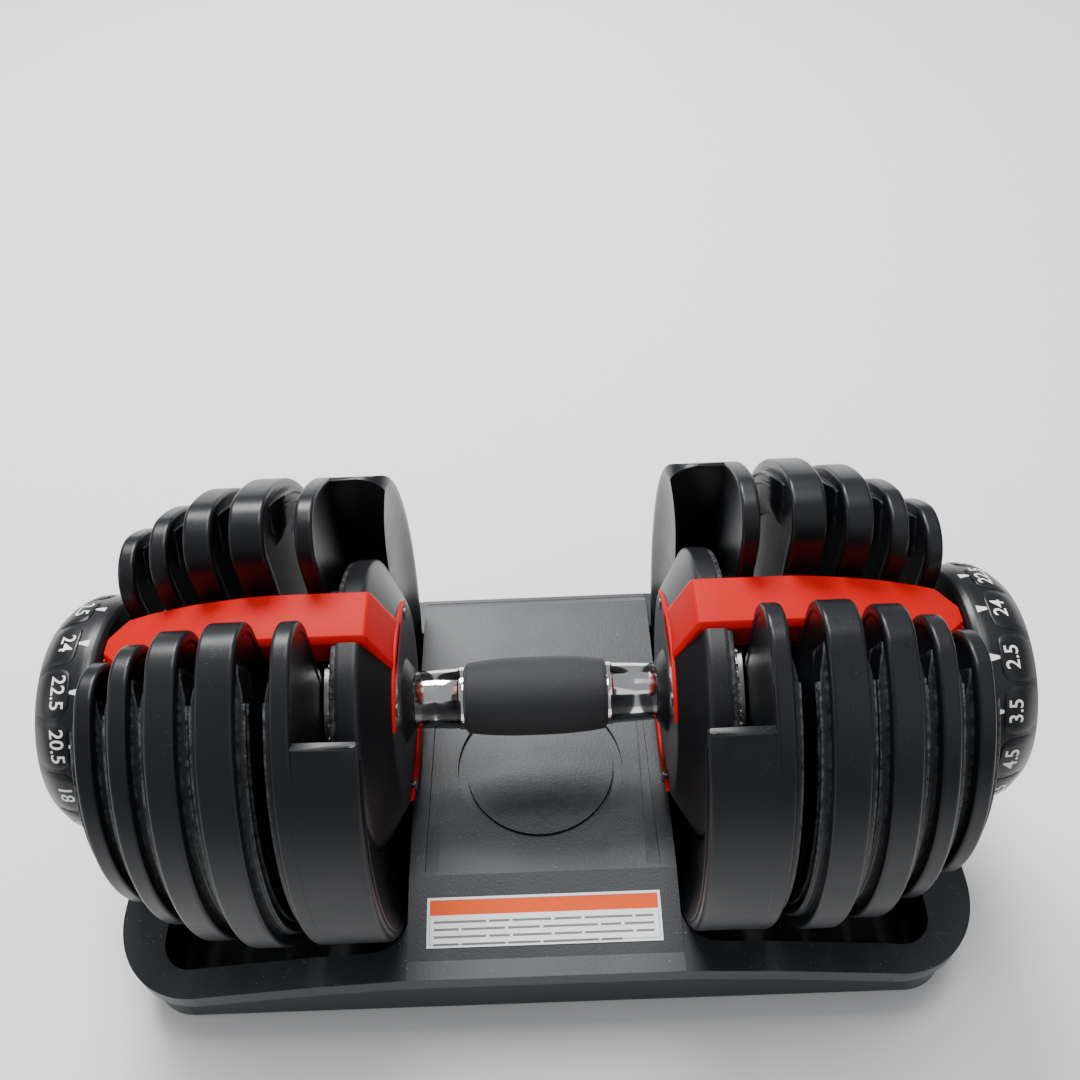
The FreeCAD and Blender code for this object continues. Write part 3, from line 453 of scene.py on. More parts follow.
def buildLights():
    aim = Vector(room["aim"])
    for name, (place, size, watts) in lamps.items():
        light = bpy.data.lights.new(name, "AREA")
        light.shape = "RECTANGLE"
        light.size, light.size_y = size
        light.energy = watts
        lamp = bpy.data.objects.new(name, light)
        lamp.location = place
        lamp.rotation_euler = (aim - Vector(place)).to_track_quat("-Z", "Y").to_euler()
        bpy.context.scene.collection.objects.link(lamp)
    world = bpy.data.worlds.new("studioRoom")
    world.use_nodes = True
    sky = world.node_tree.nodes["Background"]
    sky.inputs["Color"].default_value = room["color"]
    sky.inputs["Strength"].default_value = room["strength"]
    bpy.context.scene.world = world


buildCamera()
buildFloor()
buildLights()
print("camera, floor and lights ready")

nodeFinish = {  # part of a node's name: finish
    "tray": "tray", "feet": "foot", "notice_label": "print", "axle": "steel", "handle_tube": "steel",
    "grip": "grip", "inner_cover": "cover", "cover_backplate": "cover", "lower_trim": "red", "bridge": "red",
    "cover_screws": "darkSteel", "lock_spring": "steel", "end_washer": "steel", "end_bolt": "steel",
    "dial": "dial", "dial_cap": "dial", "index_disc": "steel", "selector_sleeve": "cover",
    "selector_disc": "cover", "lock_pin": "steel", "plate": "plate",
}


def paintNodes():
    for name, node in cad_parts.items():
        best = "plate" if name.startswith("plate") else max((key for key in nodeFinish if key in name), key=len)
        node.data.materials.clear()
        node.data.materials.append(finishes[nodeFinish[best]])


paintNodes()
print("kept nodes painted")

plateSizes = {  # millimetres and degrees; 5 is next to the hand
    "start": {5: 86.0, 4: 106.0, 3: 128.0, 2: 148.0, 1: 165.0},
    "thickness": {5: 7.5, 4: 14.0, 3: 11.5, 2: 7.5, 1: 7.0},
    "radius": {5: 101.5, 4: 102.0, 3: 98.5, 2: 91.5, 1: 82.0},
    "hookReach": {5: 5.8, 4: 4.38, 3: 4.38, 2: 4.38, 1: 3.4},
    "channel": 16.0,
    "hornFillet": 18.0,
    "rimSteps": 96,
    "hornSteps": 16,
    "channelSteps": 6,
    "rootSteps": 20,
    "edgeRound": 1.5,
    "edgeSteps": 5,
    "flankInset": 3.6,
    "flankSunk": 0.35,
    "hookAngle": 31.0,
    "hookLow": 43.0,
    "hookDepth": 5.5,
    "hookWidth": 6.0,
    "hookRound": 0.8,
    "hookRoot": 2.0,
    "padInset": 5.0,
    "padWidth": 19.0,
    "padProud": 2.5,
    "padShoulder": 24.0,
    "padSlope": 8.0,
    "cornerLead": 2.0,
    "padEnd": 143.0,
    "padFade": 5.0,
    "padRoot": 2.0,
    "sweepSteps": 48,
    "ribProud": 0.8,
    "ribWidth": 1.3,
    "ribFade": 8.0,
    "ribRoot": 1.2,
    "ribInsets": (5.4, 9.6),
}


# disc with an open channel and rounded horns, pulled in by inset; always the same number of points
def plateOutline(radius, inset):
    channel, fillet = plateSizes["channel"], plateSizes["hornFillet"]
    middleY = channel + fillet
    middleZ = math.sqrt((radius - fillet) ** 2 - middleY ** 2)
    tangent = math.atan2(middleZ, middleY)
    outer, inner, bend = radius - inset, channel + inset, fillet - inset
    rim, horn, wall, root = (plateSizes[key] for key in ("rimSteps", "hornSteps", "channelSteps", "rootSteps"))
    line = [(inner, middleZ * k / wall) for k in range(wall)]
    for k in range(horn + 1):
        turn = math.pi + (tangent - math.pi) * k / horn
        line.append((middleY + bend * math.cos(turn), middleZ + bend * math.sin(turn)))
    for k in range(1, rim):
        turn = tangent - (math.pi + 2 * tangent) * k / rim
        line.append((outer * math.cos(turn), outer * math.sin(turn)))
    for k in range(horn + 1):
        turn = math.pi - tangent + (tangent - math.pi) * k / horn
        line.append((-middleY + bend * math.cos(turn), middleZ + bend * math.sin(turn)))
    line += [(-inner, middleZ * (wall - k) / wall) for k in range(1, wall + 1)]
    for k in range(1, root):
        turn = math.pi + math.pi * k / root
        line.append((inner * math.cos(turn), inner * math.sin(turn)))
    return line


# the plate's body: rounded rims, and flanks that lie a little lower than the rim
def plateShell(number, side):
    start, thickness, radius = (plateSizes[key][number] for key in ("start", "thickness", "radius"))
    bend, steps, sunk = plateSizes["edgeRound"], plateSizes["edgeSteps"], plateSizes["flankSunk"]
    flank = plateSizes["flankInset"]
    stations = [(sunk, flank + 1.6), (sunk, flank + 0.7), (0.0, flank), (0.0, flank - 0.5), (0.0, bend + 0.4)]
    for k in range(steps + 1):
        turn = math.pi / 2 * k / steps
        stations.append((bend * (1 - math.cos(turn)), bend * (1 - math.sin(turn))))
    stations += [(bend + 0.35, 0.0), (bend + 0.9, 0.0)]
    stations += [(thickness - x, inset) for x, inset in reversed(stations)]
    rings = []
    for x, inset in stations:
        rings.append([(side * (start + x) * mm, y * mm, axisZ + z * mm) for y,
                      z in plateOutline(radius, inset)])
    return loft(rings)


# skins (distance along, radius) sections placed at angles from the top, towards the front or the rear
def sweepTurns(sections, side, front):
    rings = []
    for turn, section in sections:
        s, c = math.sin(math.radians(turn)), math.cos(math.radians(turn))
        rings.append([(side * x * mm, -front * r * s * mm, axisZ + r * c * mm) for x, r in section])
    return loft(rings)


def shoulderTurns(number):
    # the pad starts where the horn's corner has run out, which is lower on the small plates
    s = plateSizes
    sine = (s["channel"] + s["hornFillet"]) / (s["radius"][number] - s["hornFillet"])
    first = max(s["padShoulder"], math.degrees(math.asin(sine)) - s["cornerLead"])
    return first, first + s["padSlope"]


# the wide raised band on a flank; it slopes in under the horn and fades out above the seats of the tray
def flankPad(number, side, front, face, way):
    s = plateSizes
    outer = s["radius"][number] - s["padInset"]
    shoulder = shoulderTurns(number)
    sections = []
    for k in range(s["sweepSteps"] + 1):
        turn = shoulder[0] + (s["padEnd"] - shoulder[0]) * k / s["sweepSteps"]
        fade = 1 - smoothStep(s["padEnd"] - s["padFade"], s["padEnd"], turn)
        proud = s["padProud"] * smoothStep(*shoulder, turn) * fade
        section = [(-s["padRoot"], 0), (proud - 1.0, 0), (proud - 0.5, 0), (proud - 0.15, 0.15), (proud, 0.5),
                   (proud, 1.2), (proud, s["padWidth"] * 0.6), (proud, s["padWidth"] * 0.7),
                   (proud * 0.3 - 0.4, s["padWidth"]), (-s["padRoot"], s["padWidth"])]
        sections.append((turn, [(face + way * min(x, proud), outer - inset) for x, inset in section]))
    return sweepTurns(sections, side, front)


# a thin raised line parallel to the rim, with a squared top end
def flankRib(radius, side, front, face, way, turns, proud, width):
    steps, fade, root = (plateSizes[key] for key in ("sweepSteps", "ribFade", "ribRoot"))
    sections = []
    for k in range(steps + 1):
        turn = turns[0] + (turns[1] - turns[0]) * k / steps
        high = proud * (1 - smoothStep(turns[1] - fade, turns[1], turn))
        section = [(-root, 0), (high - 0.2, 0), (high, 0.25), (high, width - 0.25), (high - 0.2, width),
                   (-root, width)]
        sections.append((turn, [(face + way * x, radius - inset) for x, inset in section]))
    return sweepTurns(sections, side, front)


# the finger that a selector disc carries
def plateHook(number, side):
    s = plateSizes
    start = s["start"][number] + s["thickness"][number]
    half, low, high = s["hookWidth"] / 2, s["hookLow"], s["hookLow"] + s["hookDepth"]
    angle = math.radians(s["hookAngle"])
    sine, cosine = math.sin(angle), math.cos(angle)
    outline = roundCorners([(-half, low), (half, low), (half, high), (-half, high)], s["hookRound"], 3)
    placed = [(side * (y * cosine - z * sine), z * cosine + y * sine) for y, z in outline]
    return prism(placed, start - s["hookRoot"], start + s["hookReach"][number], side)


def flankDetails(number, side):
    s = plateSizes
    start, thickness, radius = (s[key][number] for key in ("start", "thickness", "radius"))
    parts = []
    for face, way in ((start, -1), (start + thickness, 1)):
        if number == 5 and way == -1:
            continue
        for front in (1, -1):
            parts.append(flankPad(number, side, front, face, way))
            ribFace = face + way * s["padProud"]
            ribTurns = (shoulderTurns(number)[1] + 0.5, s["padEnd"] - 4)
            for inset in s["ribInsets"]:
                parts.append(flankRib(radius - inset, side, front, ribFace, way, ribTurns, s["ribProud"],
                                      s["ribWidth"]))
    return parts


lobeSizes = {  # the thick part of plate 5 round the end cover
    "start": 62.0,
    "end": 87.0,
    "radius": 101.4,
    "recess": 65.0,
    "ledge": 75.0,
    "rearTop": 76.0,
    "cornerRound": 12.0,
    "cornerSteps": 14,
    "sweepSteps": 120,
    "topRound": [(0.0, 0.9), (0.2, 0.45), (0.6, 0.15), (1.2, 0.0)],  # below the top, pulled in
    "round": 2.4,
    "bandWidth": 5.4,
    "dishStart": 6.5,
    "dishDepth": 6.0,
    "lipRadius": 97.6,
    "lipTurns": (45.0, 150.0),
    "lipProud": 0.6,
    "lipWidth": 1.2,
}


# a band swept round the cover: cut off level at the ledge in front, taller behind
def plateLobe(side):
    s = lobeSizes
    start, bend, dish = s["start"], s["round"], s["dishDepth"]
    fullWidth = s["radius"] - s["recess"]
    # distance along the handle and distance in from the rim
    profile = [(s["end"], 0.0), (76.0, 0.0), (67.0, 0.0), (65.2, 0.0)]
    for k in range(7):
        angle = math.pi / 2 * k / 6
        profile.append((start + bend * (1 - math.sin(angle)), bend * (1 - math.cos(angle))))
    profile += [(start, 3.0), (start, 4.5), (start + 0.1, s["bandWidth"]), (start + 0.4, s["dishStart"]),
                (start + 0.9, s["dishStart"] + 1.5), (start + dish * 0.45, 13.0), (start + dish * 0.85, 22.0),
                (start + dish * 0.97, 31.0), (start + dish + 1.0, fullWidth)]
    low = math.degrees(math.asin(s["ledge"] / s["radius"]))
    high = math.degrees(math.asin(s["rearTop"] / s["radius"]))
    turns = [180 - low + (180 + low + high) * k / s["sweepSteps"] for k in range(s["sweepSteps"] + 1)]

    def ring(turn, level=None, shrink=0.0):
        cosine, sine = math.cos(math.radians(turn)), math.sin(math.radians(turn))
        outY, outZ = s["radius"] * cosine, s["radius"] * sine
        if outZ >= 0:
            inY, inZ = math.copysign(s["recess"], outY), outZ
        else:
            inY, inZ = s["recess"] * cosine, s["recess"] * sine
        span = math.hypot(outY - inY, outZ - inZ)
        band = min(s["bandWidth"], span * 0.6)
        spots = []
        for x, inset in profile + [(s["end"], fullWidth)]:
            if inset <= s["bandWidth"]:
                placed = inset / s["bandWidth"] * band
            else:
                inner = fullWidth - s["bandWidth"]
                placed = band + (inset - s["bandWidth"]) / inner * (span - band)
                if x < s["end"]:
                    x = start + (x - start) * clamp01((span - band) / inner)
            share = placed / span
            spots.append([x, outY + (inY - outY) * share, outZ + (inZ - outZ) * share])
        height = outZ if level is None else level
        above = height - (s["rearTop"] - s["cornerRound"])
        if turn > 350 and above > 0:
            corner = start + s["cornerRound"] - math.sqrt(max(s["cornerRound"] ** 2 - above ** 2, 0.0))
            spots = [[max(x, corner), y, z] for x, y, z in spots]
        if level is not None:
            middle = [sum(p[i] for p in spots) / len(spots) for i in range(2)]
            for p in spots:
                toward = Vector((middle[0] - p[0], middle[1] - p[1]))
                step = toward.normalized() * min(shrink, toward.length * 0.5)
                p[0], p[1], p[2] = p[0] + step.x, p[1] + step.y, level
        return [(side * x * mm, y * mm, axisZ + z * mm) for x, y, z in spots]

    rings = [ring(turns[0], s["ledge"] - down, shrink) for down, shrink in s["topRound"]]
    rings += [ring(turn) for turn in turns[4:-7]]
    for k in range(s["cornerSteps"]):
        height = s["rearTop"] - s["cornerRound"] * (1 - k / s["cornerSteps"]) - 1.5
        rings.append(ring(360 + math.degrees(math.asin(height / s["radius"]))))
    rings += [ring(turns[-1], s["rearTop"] - down, shrink) for down, shrink in reversed(s["topRound"])]
    return loft(rings)


def buildPlates():
    for name, side in sides.items():
        for number in plateSizes["start"]:
            parts = [plateShell(number, side), plateHook(number, side)] + flankDetails(number, side)
            node = f"plate_{number}_{name}"
            makePiece(f"weightPlate_{number}_{name}", joinParts(parts), finishes["plate"], node,
                      [node])
            if number == 5:
                s = lobeSizes
                lip = flankRib(s["lipRadius"], side, 1, s["start"], -1, s["lipTurns"], s["lipProud"],
                               s["lipWidth"])
                lobe = joinParts([plateLobe(side), lip])
                makePiece(f"plateLobe_{name}", lobe, finishes["lobe"], node, [node])


buildPlates()
print("plates ready")

gripSizes = {
    "half": 31.3,
    "radius": 17.5,
    "endRadius": 15.4,
    "seatRadius": 11.0,
    "endRound": 1.4,
    "collarInner": 14.0,
    "collarOuter": 12.5,
    "collarEnd": 53.7,
    "tubeEnd": 60.0,
    "tenonRadius": 10.0,
    "ringWidth": 2.2,
    "swellPower": 2.6,
    "boreRadius": 6.05,
    "steps": 128,
    "tubeSteps": 160,
}


def gripRadiusAt(t):
    # t runs from -1 at one end of the grip to 1 at the other
    s = gripSizes
    radius = s["endRadius"] + (s["radius"] - s["endRadius"]) * (1 - abs(t) ** s["swellPower"])
    edge = (1 - abs(t)) * s["half"]
    if edge < s["endRound"]:
        radius -= s["endRound"] - math.sqrt(max(0.0, s["endRound"] ** 2 - (s["endRound"] - edge) ** 2))
    return radius


def buildGrip():
    s = gripSizes
    places = [-1 + k / 20 for k in range(41)]
    fine = []
    for i, (t, after) in enumerate(zip(places, places[1:])):
        fine.append((t * s["half"], gripRadiusAt(t)))
        if i in (0, len(places) - 2):
            for share in (0.25, 0.5, 0.75):
                between = (t * s["half"] + (after * s["half"] - t * s["half"]) * share) / s["half"]
                fine.append((between * s["half"], gripRadiusAt(between)))
    fine.append((places[-1] * s["half"], gripRadiusAt(places[-1])))
    profile = [(-s["half"], s["seatRadius"]), (-s["half"], s["endRadius"] - s["endRound"])]
    profile += fine + [(s["half"], s["seatRadius"])]
    grip = lathe(profile, 1, steps=s["steps"])
    makePiece("handGrip", grip, finishes["grip"], "handle", ["handle_grip"])
    collar, shoulder = s["collarInner"], s["half"] + s["ringWidth"]
    inner = [(-s["tubeEnd"], s["boreRadius"]), (-s["tubeEnd"], s["tenonRadius"]),
             (-s["collarEnd"], s["tenonRadius"])]
    outer = [(s["collarEnd"], s["collarOuter"] - 0.5), (s["collarEnd"] - 0.5, s["collarOuter"]), (44.0, 13.05),
             (shoulder + 0.9, 13.55), (shoulder + 0.5, 13.75), (shoulder, collar), (s["half"] + 0.4, collar),
             (s["half"], collar - 0.4), (s["half"], s["seatRadius"])]
    profile = inner + [(-x, r) for x, r in outer] + list(reversed(outer))
    profile += [(s["collarEnd"], s["tenonRadius"]), (s["tubeEnd"], s["tenonRadius"]),
                (s["tubeEnd"], s["boreRadius"])]
    tube = lathe(profile, 1, steps=s["tubeSteps"])
    makePiece("chromeTube", tube, finishes["chrome"], "handle", ["handle_tube"], 30)


dialSizes = {
    "profile": [(178.0, 48.0), (178.3, 49.2), (179.4, 50.6), (181.5, 51.6), (184.0, 52.0), (188.0, 52.05),
                (192.0, 51.9),
                (195.5, 50.9), (198.5, 49.4), (201.2, 47.6), (203.2, 46.0), (204.2, 45.0), (204.5, 44.0)],
    "numbers": ["24", "2.5", "3.5", "4.5", "5.5", "6.5", "8", "9", "10", "11.5", "13.5", "16", "18", "20.5",
                "22.5"],
    "pitch": 24.0,
    "skinRadius": 52.0,
    "steps": 180,
    "textCut": 1.1,
    "textSize": 8.4,
    "textCentre": 192.2,
    "textProud": 0.62,
    "padStart": 187.4,
    "padEnd": 203.0,
    "padHalf": 10.6,
    "padProud": 0.55,
    "padCorner": 5.2,
    "padColumns": 12,
    "wedgeStart": 183.2,
    "wedgeLength": 4.4,
    "wedgeHalf": (1.7, 0.5),
    "wedgeProud": 0.12,
    "capRadius": 38.8,
}


def dialRadiusAt(along):
    line = dialSizes["profile"]
    for (x0, r0), (x1, r1) in zip(line, line[1:]):
        if x0 <= along <= x1:
            return r0 + (r1 - r0) * (along - x0) / (x1 - x0)
    return line[0][1] if along < line[0][0] else line[-1][1]


# a point on the dial's skin: turn is in degrees from the top towards the front
def onDial(side, along, turn, lift):
    radius = dialRadiusAt(along) + lift
    angle = math.radians(turn)
    return (side * along * mm, -radius * math.sin(angle) * mm, axisZ + radius * math.cos(angle) * mm)


def dialBody(side):
    line = dialSizes["profile"]
    smooth = []
    for (x0, r0), (x1, r1) in zip(line, line[1:]):
        smooth += [(x0 + (x1 - x0) * (k / 3), r0 + (r1 - r0) * (k / 3)) for k in range(3)]
    cap = dialSizes["capRadius"]
    face = [(204.5, 43.9), (204.5, cap + 0.9), (204.1, cap + 0.3), (203.2, cap + 0.1), (200.2, cap + 0.1),
            (200.2, 36.2), (197.0, 36.2), (197.0, 43.5), (192.0, 47.5), (181.5, 47.5), (181.5, 15.0),
            (190.2, 15.0), (190.2, 6.1), (186.2, 6.1), (186.2, 11.1), (178.0, 11.1)]
    return lathe(smooth + [line[-1]] + face, side, steps=dialSizes["steps"])


# fifteen raised panels, each with a rounded inboard end
def dialPanels(side):
    s = dialSizes
    parts = []
    degrees = math.degrees(1 / s["skinRadius"])
    length, corner, columns = s["padEnd"] - s["padStart"], s["padCorner"], s["padColumns"]
    for i in range(len(s["numbers"])):
        turn = i * s["pitch"]
        rings = []
        for along in [0, 0.15, 0.5, 1.1, 2.0, 3.2, 5.0, 8.0, 11.0, length - 0.5, length]:
            half = s["padHalf"] * 0.93
            if along < corner:
                half -= corner - math.sqrt(max(0.0, corner ** 2 - (corner - along) ** 2))
            lift = s["padProud"] * smoothStep(-0.3, 0.5, along) * (1 - smoothStep(length - 1.5, length, along))
            half = max(half, 1.0) * degrees
            ring = []
            for k in range(columns + 1):
                place = -1 + 2 * k / columns
                edge = lift if 0 < k < columns else lift - 0.35
                ring.append(onDial(side, s["padStart"] + along, turn + place * half, edge))
            for k in range(columns, -1, -1):
                ring.append(onDial(side, s["padStart"] + along, turn + (-1 + 2 * k / columns) * half, -0.7))
            rings.append(ring)
        parts.append(loft(rings))
    return parts


# white pointers inboard of the numbers, wide end inboard
def dialWedges(side):
    s = dialSizes
    parts = []
    degrees = math.degrees(1 / s["skinRadius"])
    for i in range(len(s["numbers"])):
        rings = []
        for t in (0.0, 0.5, 1.0):
            half = (s["wedgeHalf"][0] + (s["wedgeHalf"][1] - s["wedgeHalf"][0]) * t) * degrees
            along, lift = s["wedgeStart"] + s["wedgeLength"] * t, s["wedgeProud"]
            turn = i * s["pitch"]
            rings.append([onDial(side, along, turn - half, lift), onDial(side, along, turn + half, lift),
                          onDial(side, along, turn + half, -0.3), onDial(side, along, turn - half, -0.3)])
        parts.append(loft(rings))
    return parts


# cuts a flat mesh every gap along x and y, so that it can follow a curve
def cutAcross(shape, gap):
    work = bmesh.new()
    work.from_mesh(shape)
    for axis in (0, 1):
        low = min(v.co[axis] for v in work.verts)
        high = max(v.co[axis] for v in work.verts)
        normal = Vector((1.0, 0.0, 0.0)) if axis == 0 else Vector((0.0, 1.0, 0.0))
        for k in range(1, int((high - low) / gap) + 1):
            geom = list(work.verts) + list(work.edges) + list(work.faces)
            bmesh.ops.bisect_plane(work, geom=geom, plane_co=normal * (low + k * gap), plane_no=normal)
    work.to_mesh(shape)
    work.free()


def dialNumbers(side):
    s = dialSizes
    parts = []
    for i, number in enumerate(s["numbers"]):
        letters = bpy.data.curves.new("numberLine", "FONT")
        letters.body = number
        letters.size = s["textSize"]
        letters.align_x = "CENTER"
        letters.extrude = 0.35
        letters.resolution_u = 5
        letters.offset = 0.06
        holder = bpy.data.objects.new("numberLine", letters)
        bpy.context.scene.collection.objects.link(holder)
        bpy.context.view_layer.update()
        graph = bpy.context.evaluated_depsgraph_get()
        shape = bpy.data.meshes.new_from_object(holder.evaluated_get(graph))
        heights = [v.co.y for v in shape.vertices]
        middle = (min(heights) + max(heights)) / 2
        cutAcross(shape, s["textCut"])
        verts = []
        for v in shape.vertices:
            turn = i * side * s["pitch"] - side * math.degrees(v.co.x / s["skinRadius"])
            lift = s["textProud"] + (0.1 if v.co.z > 0 else -0.5)
            verts.append(onDial(side, s["textCentre"] - (v.co.y - middle), turn, lift))
        parts.append((verts, [tuple(face.vertices) for face in shape.polygons]))
        bpy.data.objects.remove(holder)
        bpy.data.curves.remove(letters)
        bpy.data.meshes.remove(shape)
    return parts


def dialCap(side):
    cap = dialSizes["capRadius"]
    profile = [(200.0, 0.001), (200.0, cap), (202.6, cap), (203.0, cap - 0.5), (203.0, cap - 3.0),
               (202.5, cap - 3.5),
               (202.3, cap - 6.0), (202.3, 12.0), (202.6, 11.2), (202.6, 0.001)]
    return lathe(profile, side)


def buildDials():
    for name, side in sides.items():
        body = f"selector_{name}"
        makePiece(f"dialBody_{name}", dialBody(side), finishes["dial"], body,
                  [f"dial_{name}"], 35)
        makePiece(f"dialPanels_{name}", joinParts(dialPanels(side)), finishes["dial"], body,
                  (), 35)
        makePiece(f"dialPointers_{name}", joinParts(dialWedges(side)), finishes["print"], body)
        makePiece(f"dialNumbers_{name}", joinParts(dialNumbers(side)), finishes["print"], body)
        makePiece(f"dialCap_{name}", dialCap(side), finishes["dial"], body,
                  [f"dial_cap_{name}"], 35)


buildGrip()
buildDials()
print("grip, collars and dials ready")

softEdge = {"node": "tray", "width": 0.9, "steps": 3, "weld": 0.01, "flatAngle": 2}  # millimetres, degrees


def softenNodes():
    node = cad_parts[softEdge["node"]]
    weld = node.modifiers.new("mergedPoints", "WELD")
    weld.merge_threshold = softEdge["weld"] * mm
    flat = node.modifiers.new("flatFaces", "DECIMATE")
    flat.decimate_type = "DISSOLVE"
    flat.angle_limit = math.radians(softEdge["flatAngle"])
    addBevel(node, softEdge["width"] * mm, softEdge["steps"])


softenNodes()
print("edges softened")

noticeSizes = {  # millimetres; the sheet is printed with bars and has no lettering
    "lift": 0.05,
    "border": 1.4,
    "frameWidth": 0.25,
    "bandHeight": 6.2,
    "bars": 4,
    "barHeight": 1.0,
    "barGap": 2.1,
    "barInset": 1.6,
    "barBreak": 1.3,
    "firstBarDrop": 2.4,
    "lastBarShort": 14,
    "barLengths": [[23, 9, 17, 12, 21, 8], [11, 19, 14, 24, 9, 13]],
    "slope": (35.0, 8.0),  # run and rise of the tray's front
}


def buildNotice():
    low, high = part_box("notice_label")
    s = noticeSizes
    run = Vector((0, s["slope"][0], s["slope"][1])).normalized()
    up = Vector((0, -run.z, run.y))
    middleX = (low.x + high.x) / 2
    width = (high.x - low.x) / mm
    depth = (high.y - low.y) / mm / run.y
    points = [v.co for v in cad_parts["notice_label"].data.vertices]
    corner = min(points, key=lambda p: p.dot(run))
    top = max(p.dot(up) for p in points)
    origin = run * corner.dot(run) + up * top + Vector((middleX, 0, 0))
    lift, border = s["lift"], s["border"]

    def slab(x0, x1, d0, d1):
        rings = []
        for d in (d0, d1):
            rings.append([tuple(origin + run * d * mm + up * h * mm + Vector((x * mm, 0, 0)))
                          for x, h in ((x0, -lift), (x1, -lift), (x1, lift), (x0, lift))])
        return loft(rings)

    half, ceiling = width / 2 - border, depth - border
    bandLow = ceiling - s["bandHeight"]
    band = slab(-half, half, bandLow, ceiling)
    makePiece("noticeBand", band, finishes["orange"], "tray")
    bars = []
    for i in range(s["bars"]):
        d = bandLow - s["firstBarDrop"] - i * (s["barHeight"] + s["barGap"])
        x = -half + s["barInset"]
        limit = half - s["barInset"] - (s["lastBarShort"] if i == s["bars"] - 1 else 0)
        for length in s["barLengths"][i % 2]:
            end = min(x + length, limit)
            if end - x > 2:
                bars.append(slab(x, end, d - s["barHeight"], d))
            x = end + s["barBreak"]
    makePiece("noticeBars", joinParts(bars), finishes["ink"], "tray")
    line = s["frameWidth"]
    lines = [slab(-half, half, border - line, border), slab(-half, half, ceiling, ceiling + line)]
    lines += [slab(x, x + line, border, ceiling) for x in (-half - line, half)]
    makePiece("noticeFrame", joinParts(lines), finishes["ink"], "tray")


buildNotice()
print("notice sheet ready")

coverSizes = {
    "profile": [(60.0, 10.05), (53.8, 10.05), (53.7, 10.3), (53.7, 12.8), (53.9, 13.3), (56.9, 17.6),
                (57.6, 18.3), (58.0, 19.0),
                (58.0, 19.6), (58.0, 34.0), (58.0, 44.0), (58.1, 45.0), (58.4, 45.8), (59.0, 47.0),
                (66.6, 60.2), (67.3, 61.3),
                (68.0, 62.5), (68.6, 63.2), (69.4, 63.8), (70.4, 64.0), (71.2, 64.0), (76.2, 64.0),
                (77.2, 64.0), (77.8, 63.7), (78.0, 63.0),
                (78.0, 61.0), (69.5, 61.0), (61.5, 44.5), (61.5, 16.0), (78.0, 16.0), (78.0, 6.1), (60.0, 6.1)],
    "backplate": [(78.0, 6.1), (78.0, 63.0), (79.4, 63.0), (79.85, 62.8), (80.0, 62.3), (80.0, 6.1)],
}

bridgeSizes = {
    # distance along, top, bottom, half width
    "stations": [(56.8, 42.0, 39.0, 12.6), (57.2, 43.4, 39.0, 13.0), (58.0, 45.4, 42.0, 13.0),
                 (61.0, 52.4, 46.0, 13.0),
                 (65.6, 63.2, 51.0, 13.0), (66.2, 64.3, 51.0, 13.0), (67.0, 64.85, 51.0, 13.0),
                 (68.2, 65.0, 51.0, 13.0),
                 (77.0, 65.0, 51.0, 13.0), (89.0, 65.0, 51.0, 13.0), (89.5, 65.0, 51.6, 13.0),
                 (89.6, 65.0, 52.0, 13.0),
                 (100.0, 65.0, 52.0, 13.0), (107.0, 64.95, 52.0, 13.0), (113.0, 64.6, 51.8, 13.0),
                 (120.0, 63.75, 51.2, 13.0),
                 (130.0, 62.35, 50.0, 13.0), (139.0, 60.85, 48.4, 13.0), (146.0, 59.2, 47.2, 13.0),
                 (153.0, 57.4, 46.2, 13.0),
                 (160.0, 55.4, 45.0, 13.0), (167.0, 52.9, 44.0, 13.0), (169.0, 52.15, 43.8, 13.0),
                 (170.2, 51.7, 43.6, 12.2),
                 (176.6, 49.4, 43.0, 6.4), (177.4, 49.0, 43.0, 5.5), (177.6, 48.4, 43.2, 5.2)],
    "chamfer": 2.2,
    "chamferDrop": 2.6,
    "crescentOuter": 45.0,
    "crescentInner": 36.0,
    "crescentDrop": 51.6,
    "crescentStart": 56.8,
    "crescentRound": 0.35,
    "crescentBack": 58.3,
    "crescentSteps": 40,
    "eye": [(175.8, 11.2), (175.8, 16.0), (177.6, 16.0), (177.6, 11.2)],
    "stem": (175.8, 177.6, 6.0, 12.0, 47.0),  # from, to, half width, lowest, highest
}


def crescentPart(side, way):
    s = bridgeSizes
    outer, reach = s["crescentOuter"], s["crescentInner"] + s["crescentDrop"]
    height = (reach ** 2 - outer ** 2 - s["crescentDrop"] ** 2) / (2 * s["crescentDrop"])
    spread = math.acos(height / outer)
    innerSpread = math.atan2(outer * math.sin(spread), height + s["crescentDrop"])
    rings = []
    start, bend, steps = s["crescentStart"], s["crescentRound"], s["crescentSteps"]
    for x, shrink in ((s["crescentBack"], 0.0), (start + bend, 0.0), (start + 0.1, 0.12), (start, bend)):
        line = []
        for k in range(steps + 1):
            turn = -spread + 2 * spread * k / steps
            line.append(((outer - shrink) * math.sin(turn), (outer - shrink) * math.cos(turn)))
        for k in range(1, steps):
            turn = innerSpread - 2 * innerSpread * k / steps
            line.append(((reach + shrink) * math.sin(turn),
                         (reach + shrink) * math.cos(turn) - s["crescentDrop"]))
        rings.append([(side * x * mm, y * mm, axisZ + way * z * mm) for y, z in line])
    return loft(rings)


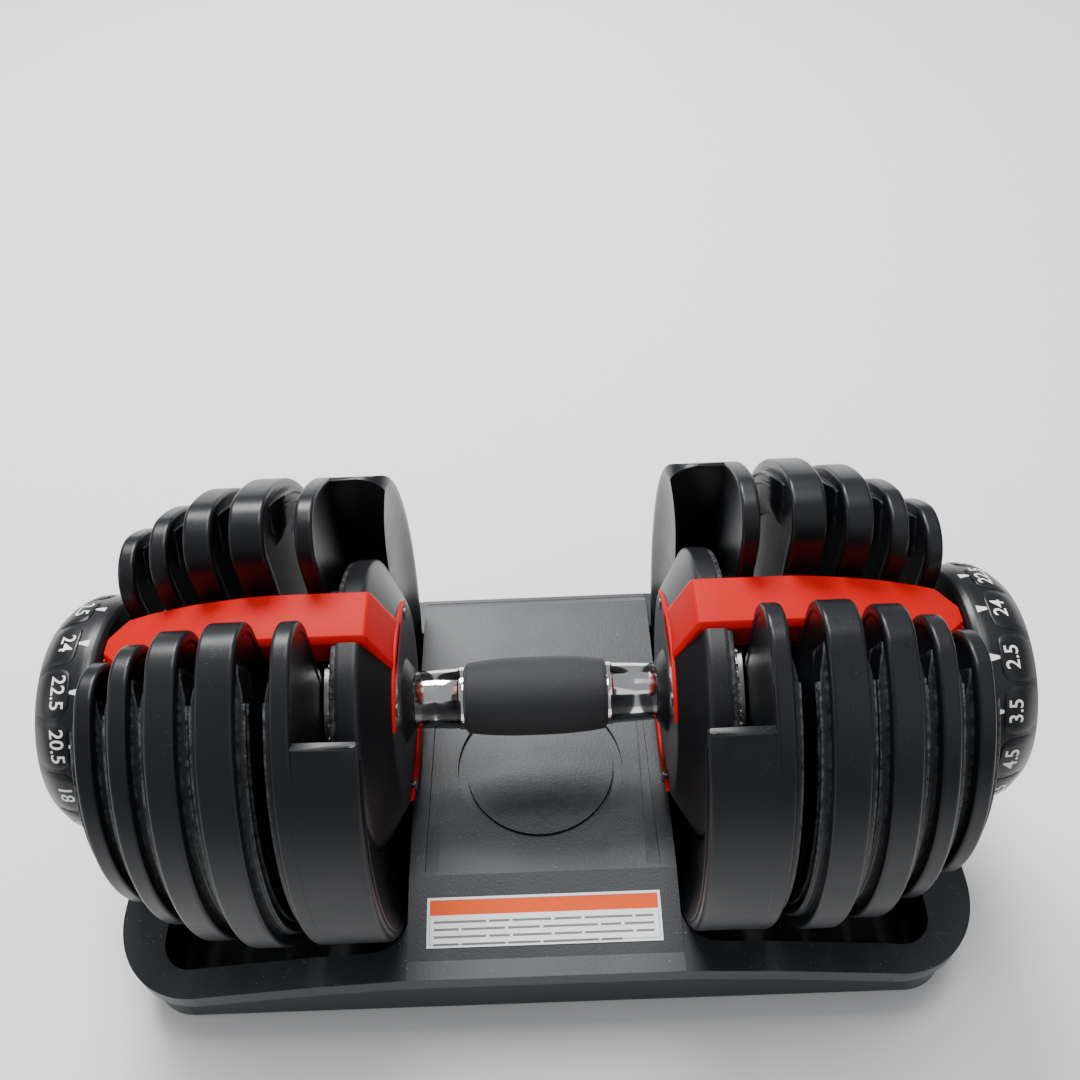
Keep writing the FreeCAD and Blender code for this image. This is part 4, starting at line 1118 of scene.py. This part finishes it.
def bridgeBeam(side):
    s = bridgeSizes
    rings = []
    for x, top, bottom, half in s["stations"]:
        c, d = min(s["chamfer"], half * 0.4), min(s["chamferDrop"], (top - bottom) * 0.45)
        line = [(-half, bottom), (-half, top - d - 0.5), (-half + 0.06, top - d - 0.1),
                (-half + 0.35, top - d + 0.4),
                (-half + c - 0.5, top - 0.42), (-half + c - 0.05, top - 0.1), (-half + c + 0.6, top)]
        line += [(-y, z) for y, z in reversed(line)]
        rings.append([(side * x * mm, y * mm, axisZ + z * mm) for y, z in line])
    return loft(rings)


drumSizes = {  # steel index drum behind the end cover
    "profile": [(80.45, 11.1), (80.45, 47.6), (80.6, 47.8), (81.4, 47.8), (81.4, 44.0), (83.25, 44.0),
                (83.25, 46.7), (83.4, 46.9),
                (85.3, 46.9), (85.45, 46.7), (85.45, 11.1)],
    "teeth": 60,
    "toothStart": 81.4,
    "toothEnd": 83.2,
    "toothTop": 50.0,
    "toothRoot": 46.0,
    # degrees from a tooth's middle
    "toothShifts": [(-2.2, "toothRoot"), (-1.1, "toothTop"), (1.1, "toothTop"), (2.2, "toothRoot")],
}


def drumTeeth(side):
    s = drumSizes
    outline = []
    for k in range(s["teeth"]):
        middle = 360 / s["teeth"] * (k + 0.5)
        for shift, height in s["toothShifts"]:
            turn, radius = math.radians(middle + shift), s[height]
            outline.append((-side * radius * math.sin(turn), radius * math.cos(turn)))
    return prism(outline, s["toothStart"], s["toothEnd"], side)


def buildEnds():
    for name, side in sides.items():
        cover = lathe(coverSizes["profile"], side, steps=160)
        makePiece(f"endCover_{name}", cover, finishes["cover"], "handle",
                  [f"inner_cover_{name}"], 30)
        back = lathe(coverSizes["backplate"], side)
        makePiece(f"coverBack_{name}", back, finishes["cover"], "handle",
                  [f"cover_backplate_{name}"], 30)
        drum = joinParts([lathe(drumSizes["profile"], side), drumTeeth(side)])
        rotor = f"selector_{name}"
        makePiece(f"indexDrum_{name}", drum, finishes["steel"], rotor, [f"index_disc_{name}"], 30)
        start, end, half, low, high = bridgeSizes["stem"]
        stem = prism([(-half, low), (half, low), (half, high), (-half, high)], start, end, side)
        bridge = joinParts([bridgeBeam(side), crescentPart(side, 1),
                            lathe(bridgeSizes["eye"], side, steps=64), stem])
        makePiece(f"redBridge_{name}", bridge, finishes["red"], "handle", [f"bridge_{name}"], 24)
        trim = crescentPart(side, -1)
        makePiece(f"redTrim_{name}", trim, finishes["red"], "handle", [f"lower_trim_{name}"], 30)


buildEnds()
print("covers and bridges ready")
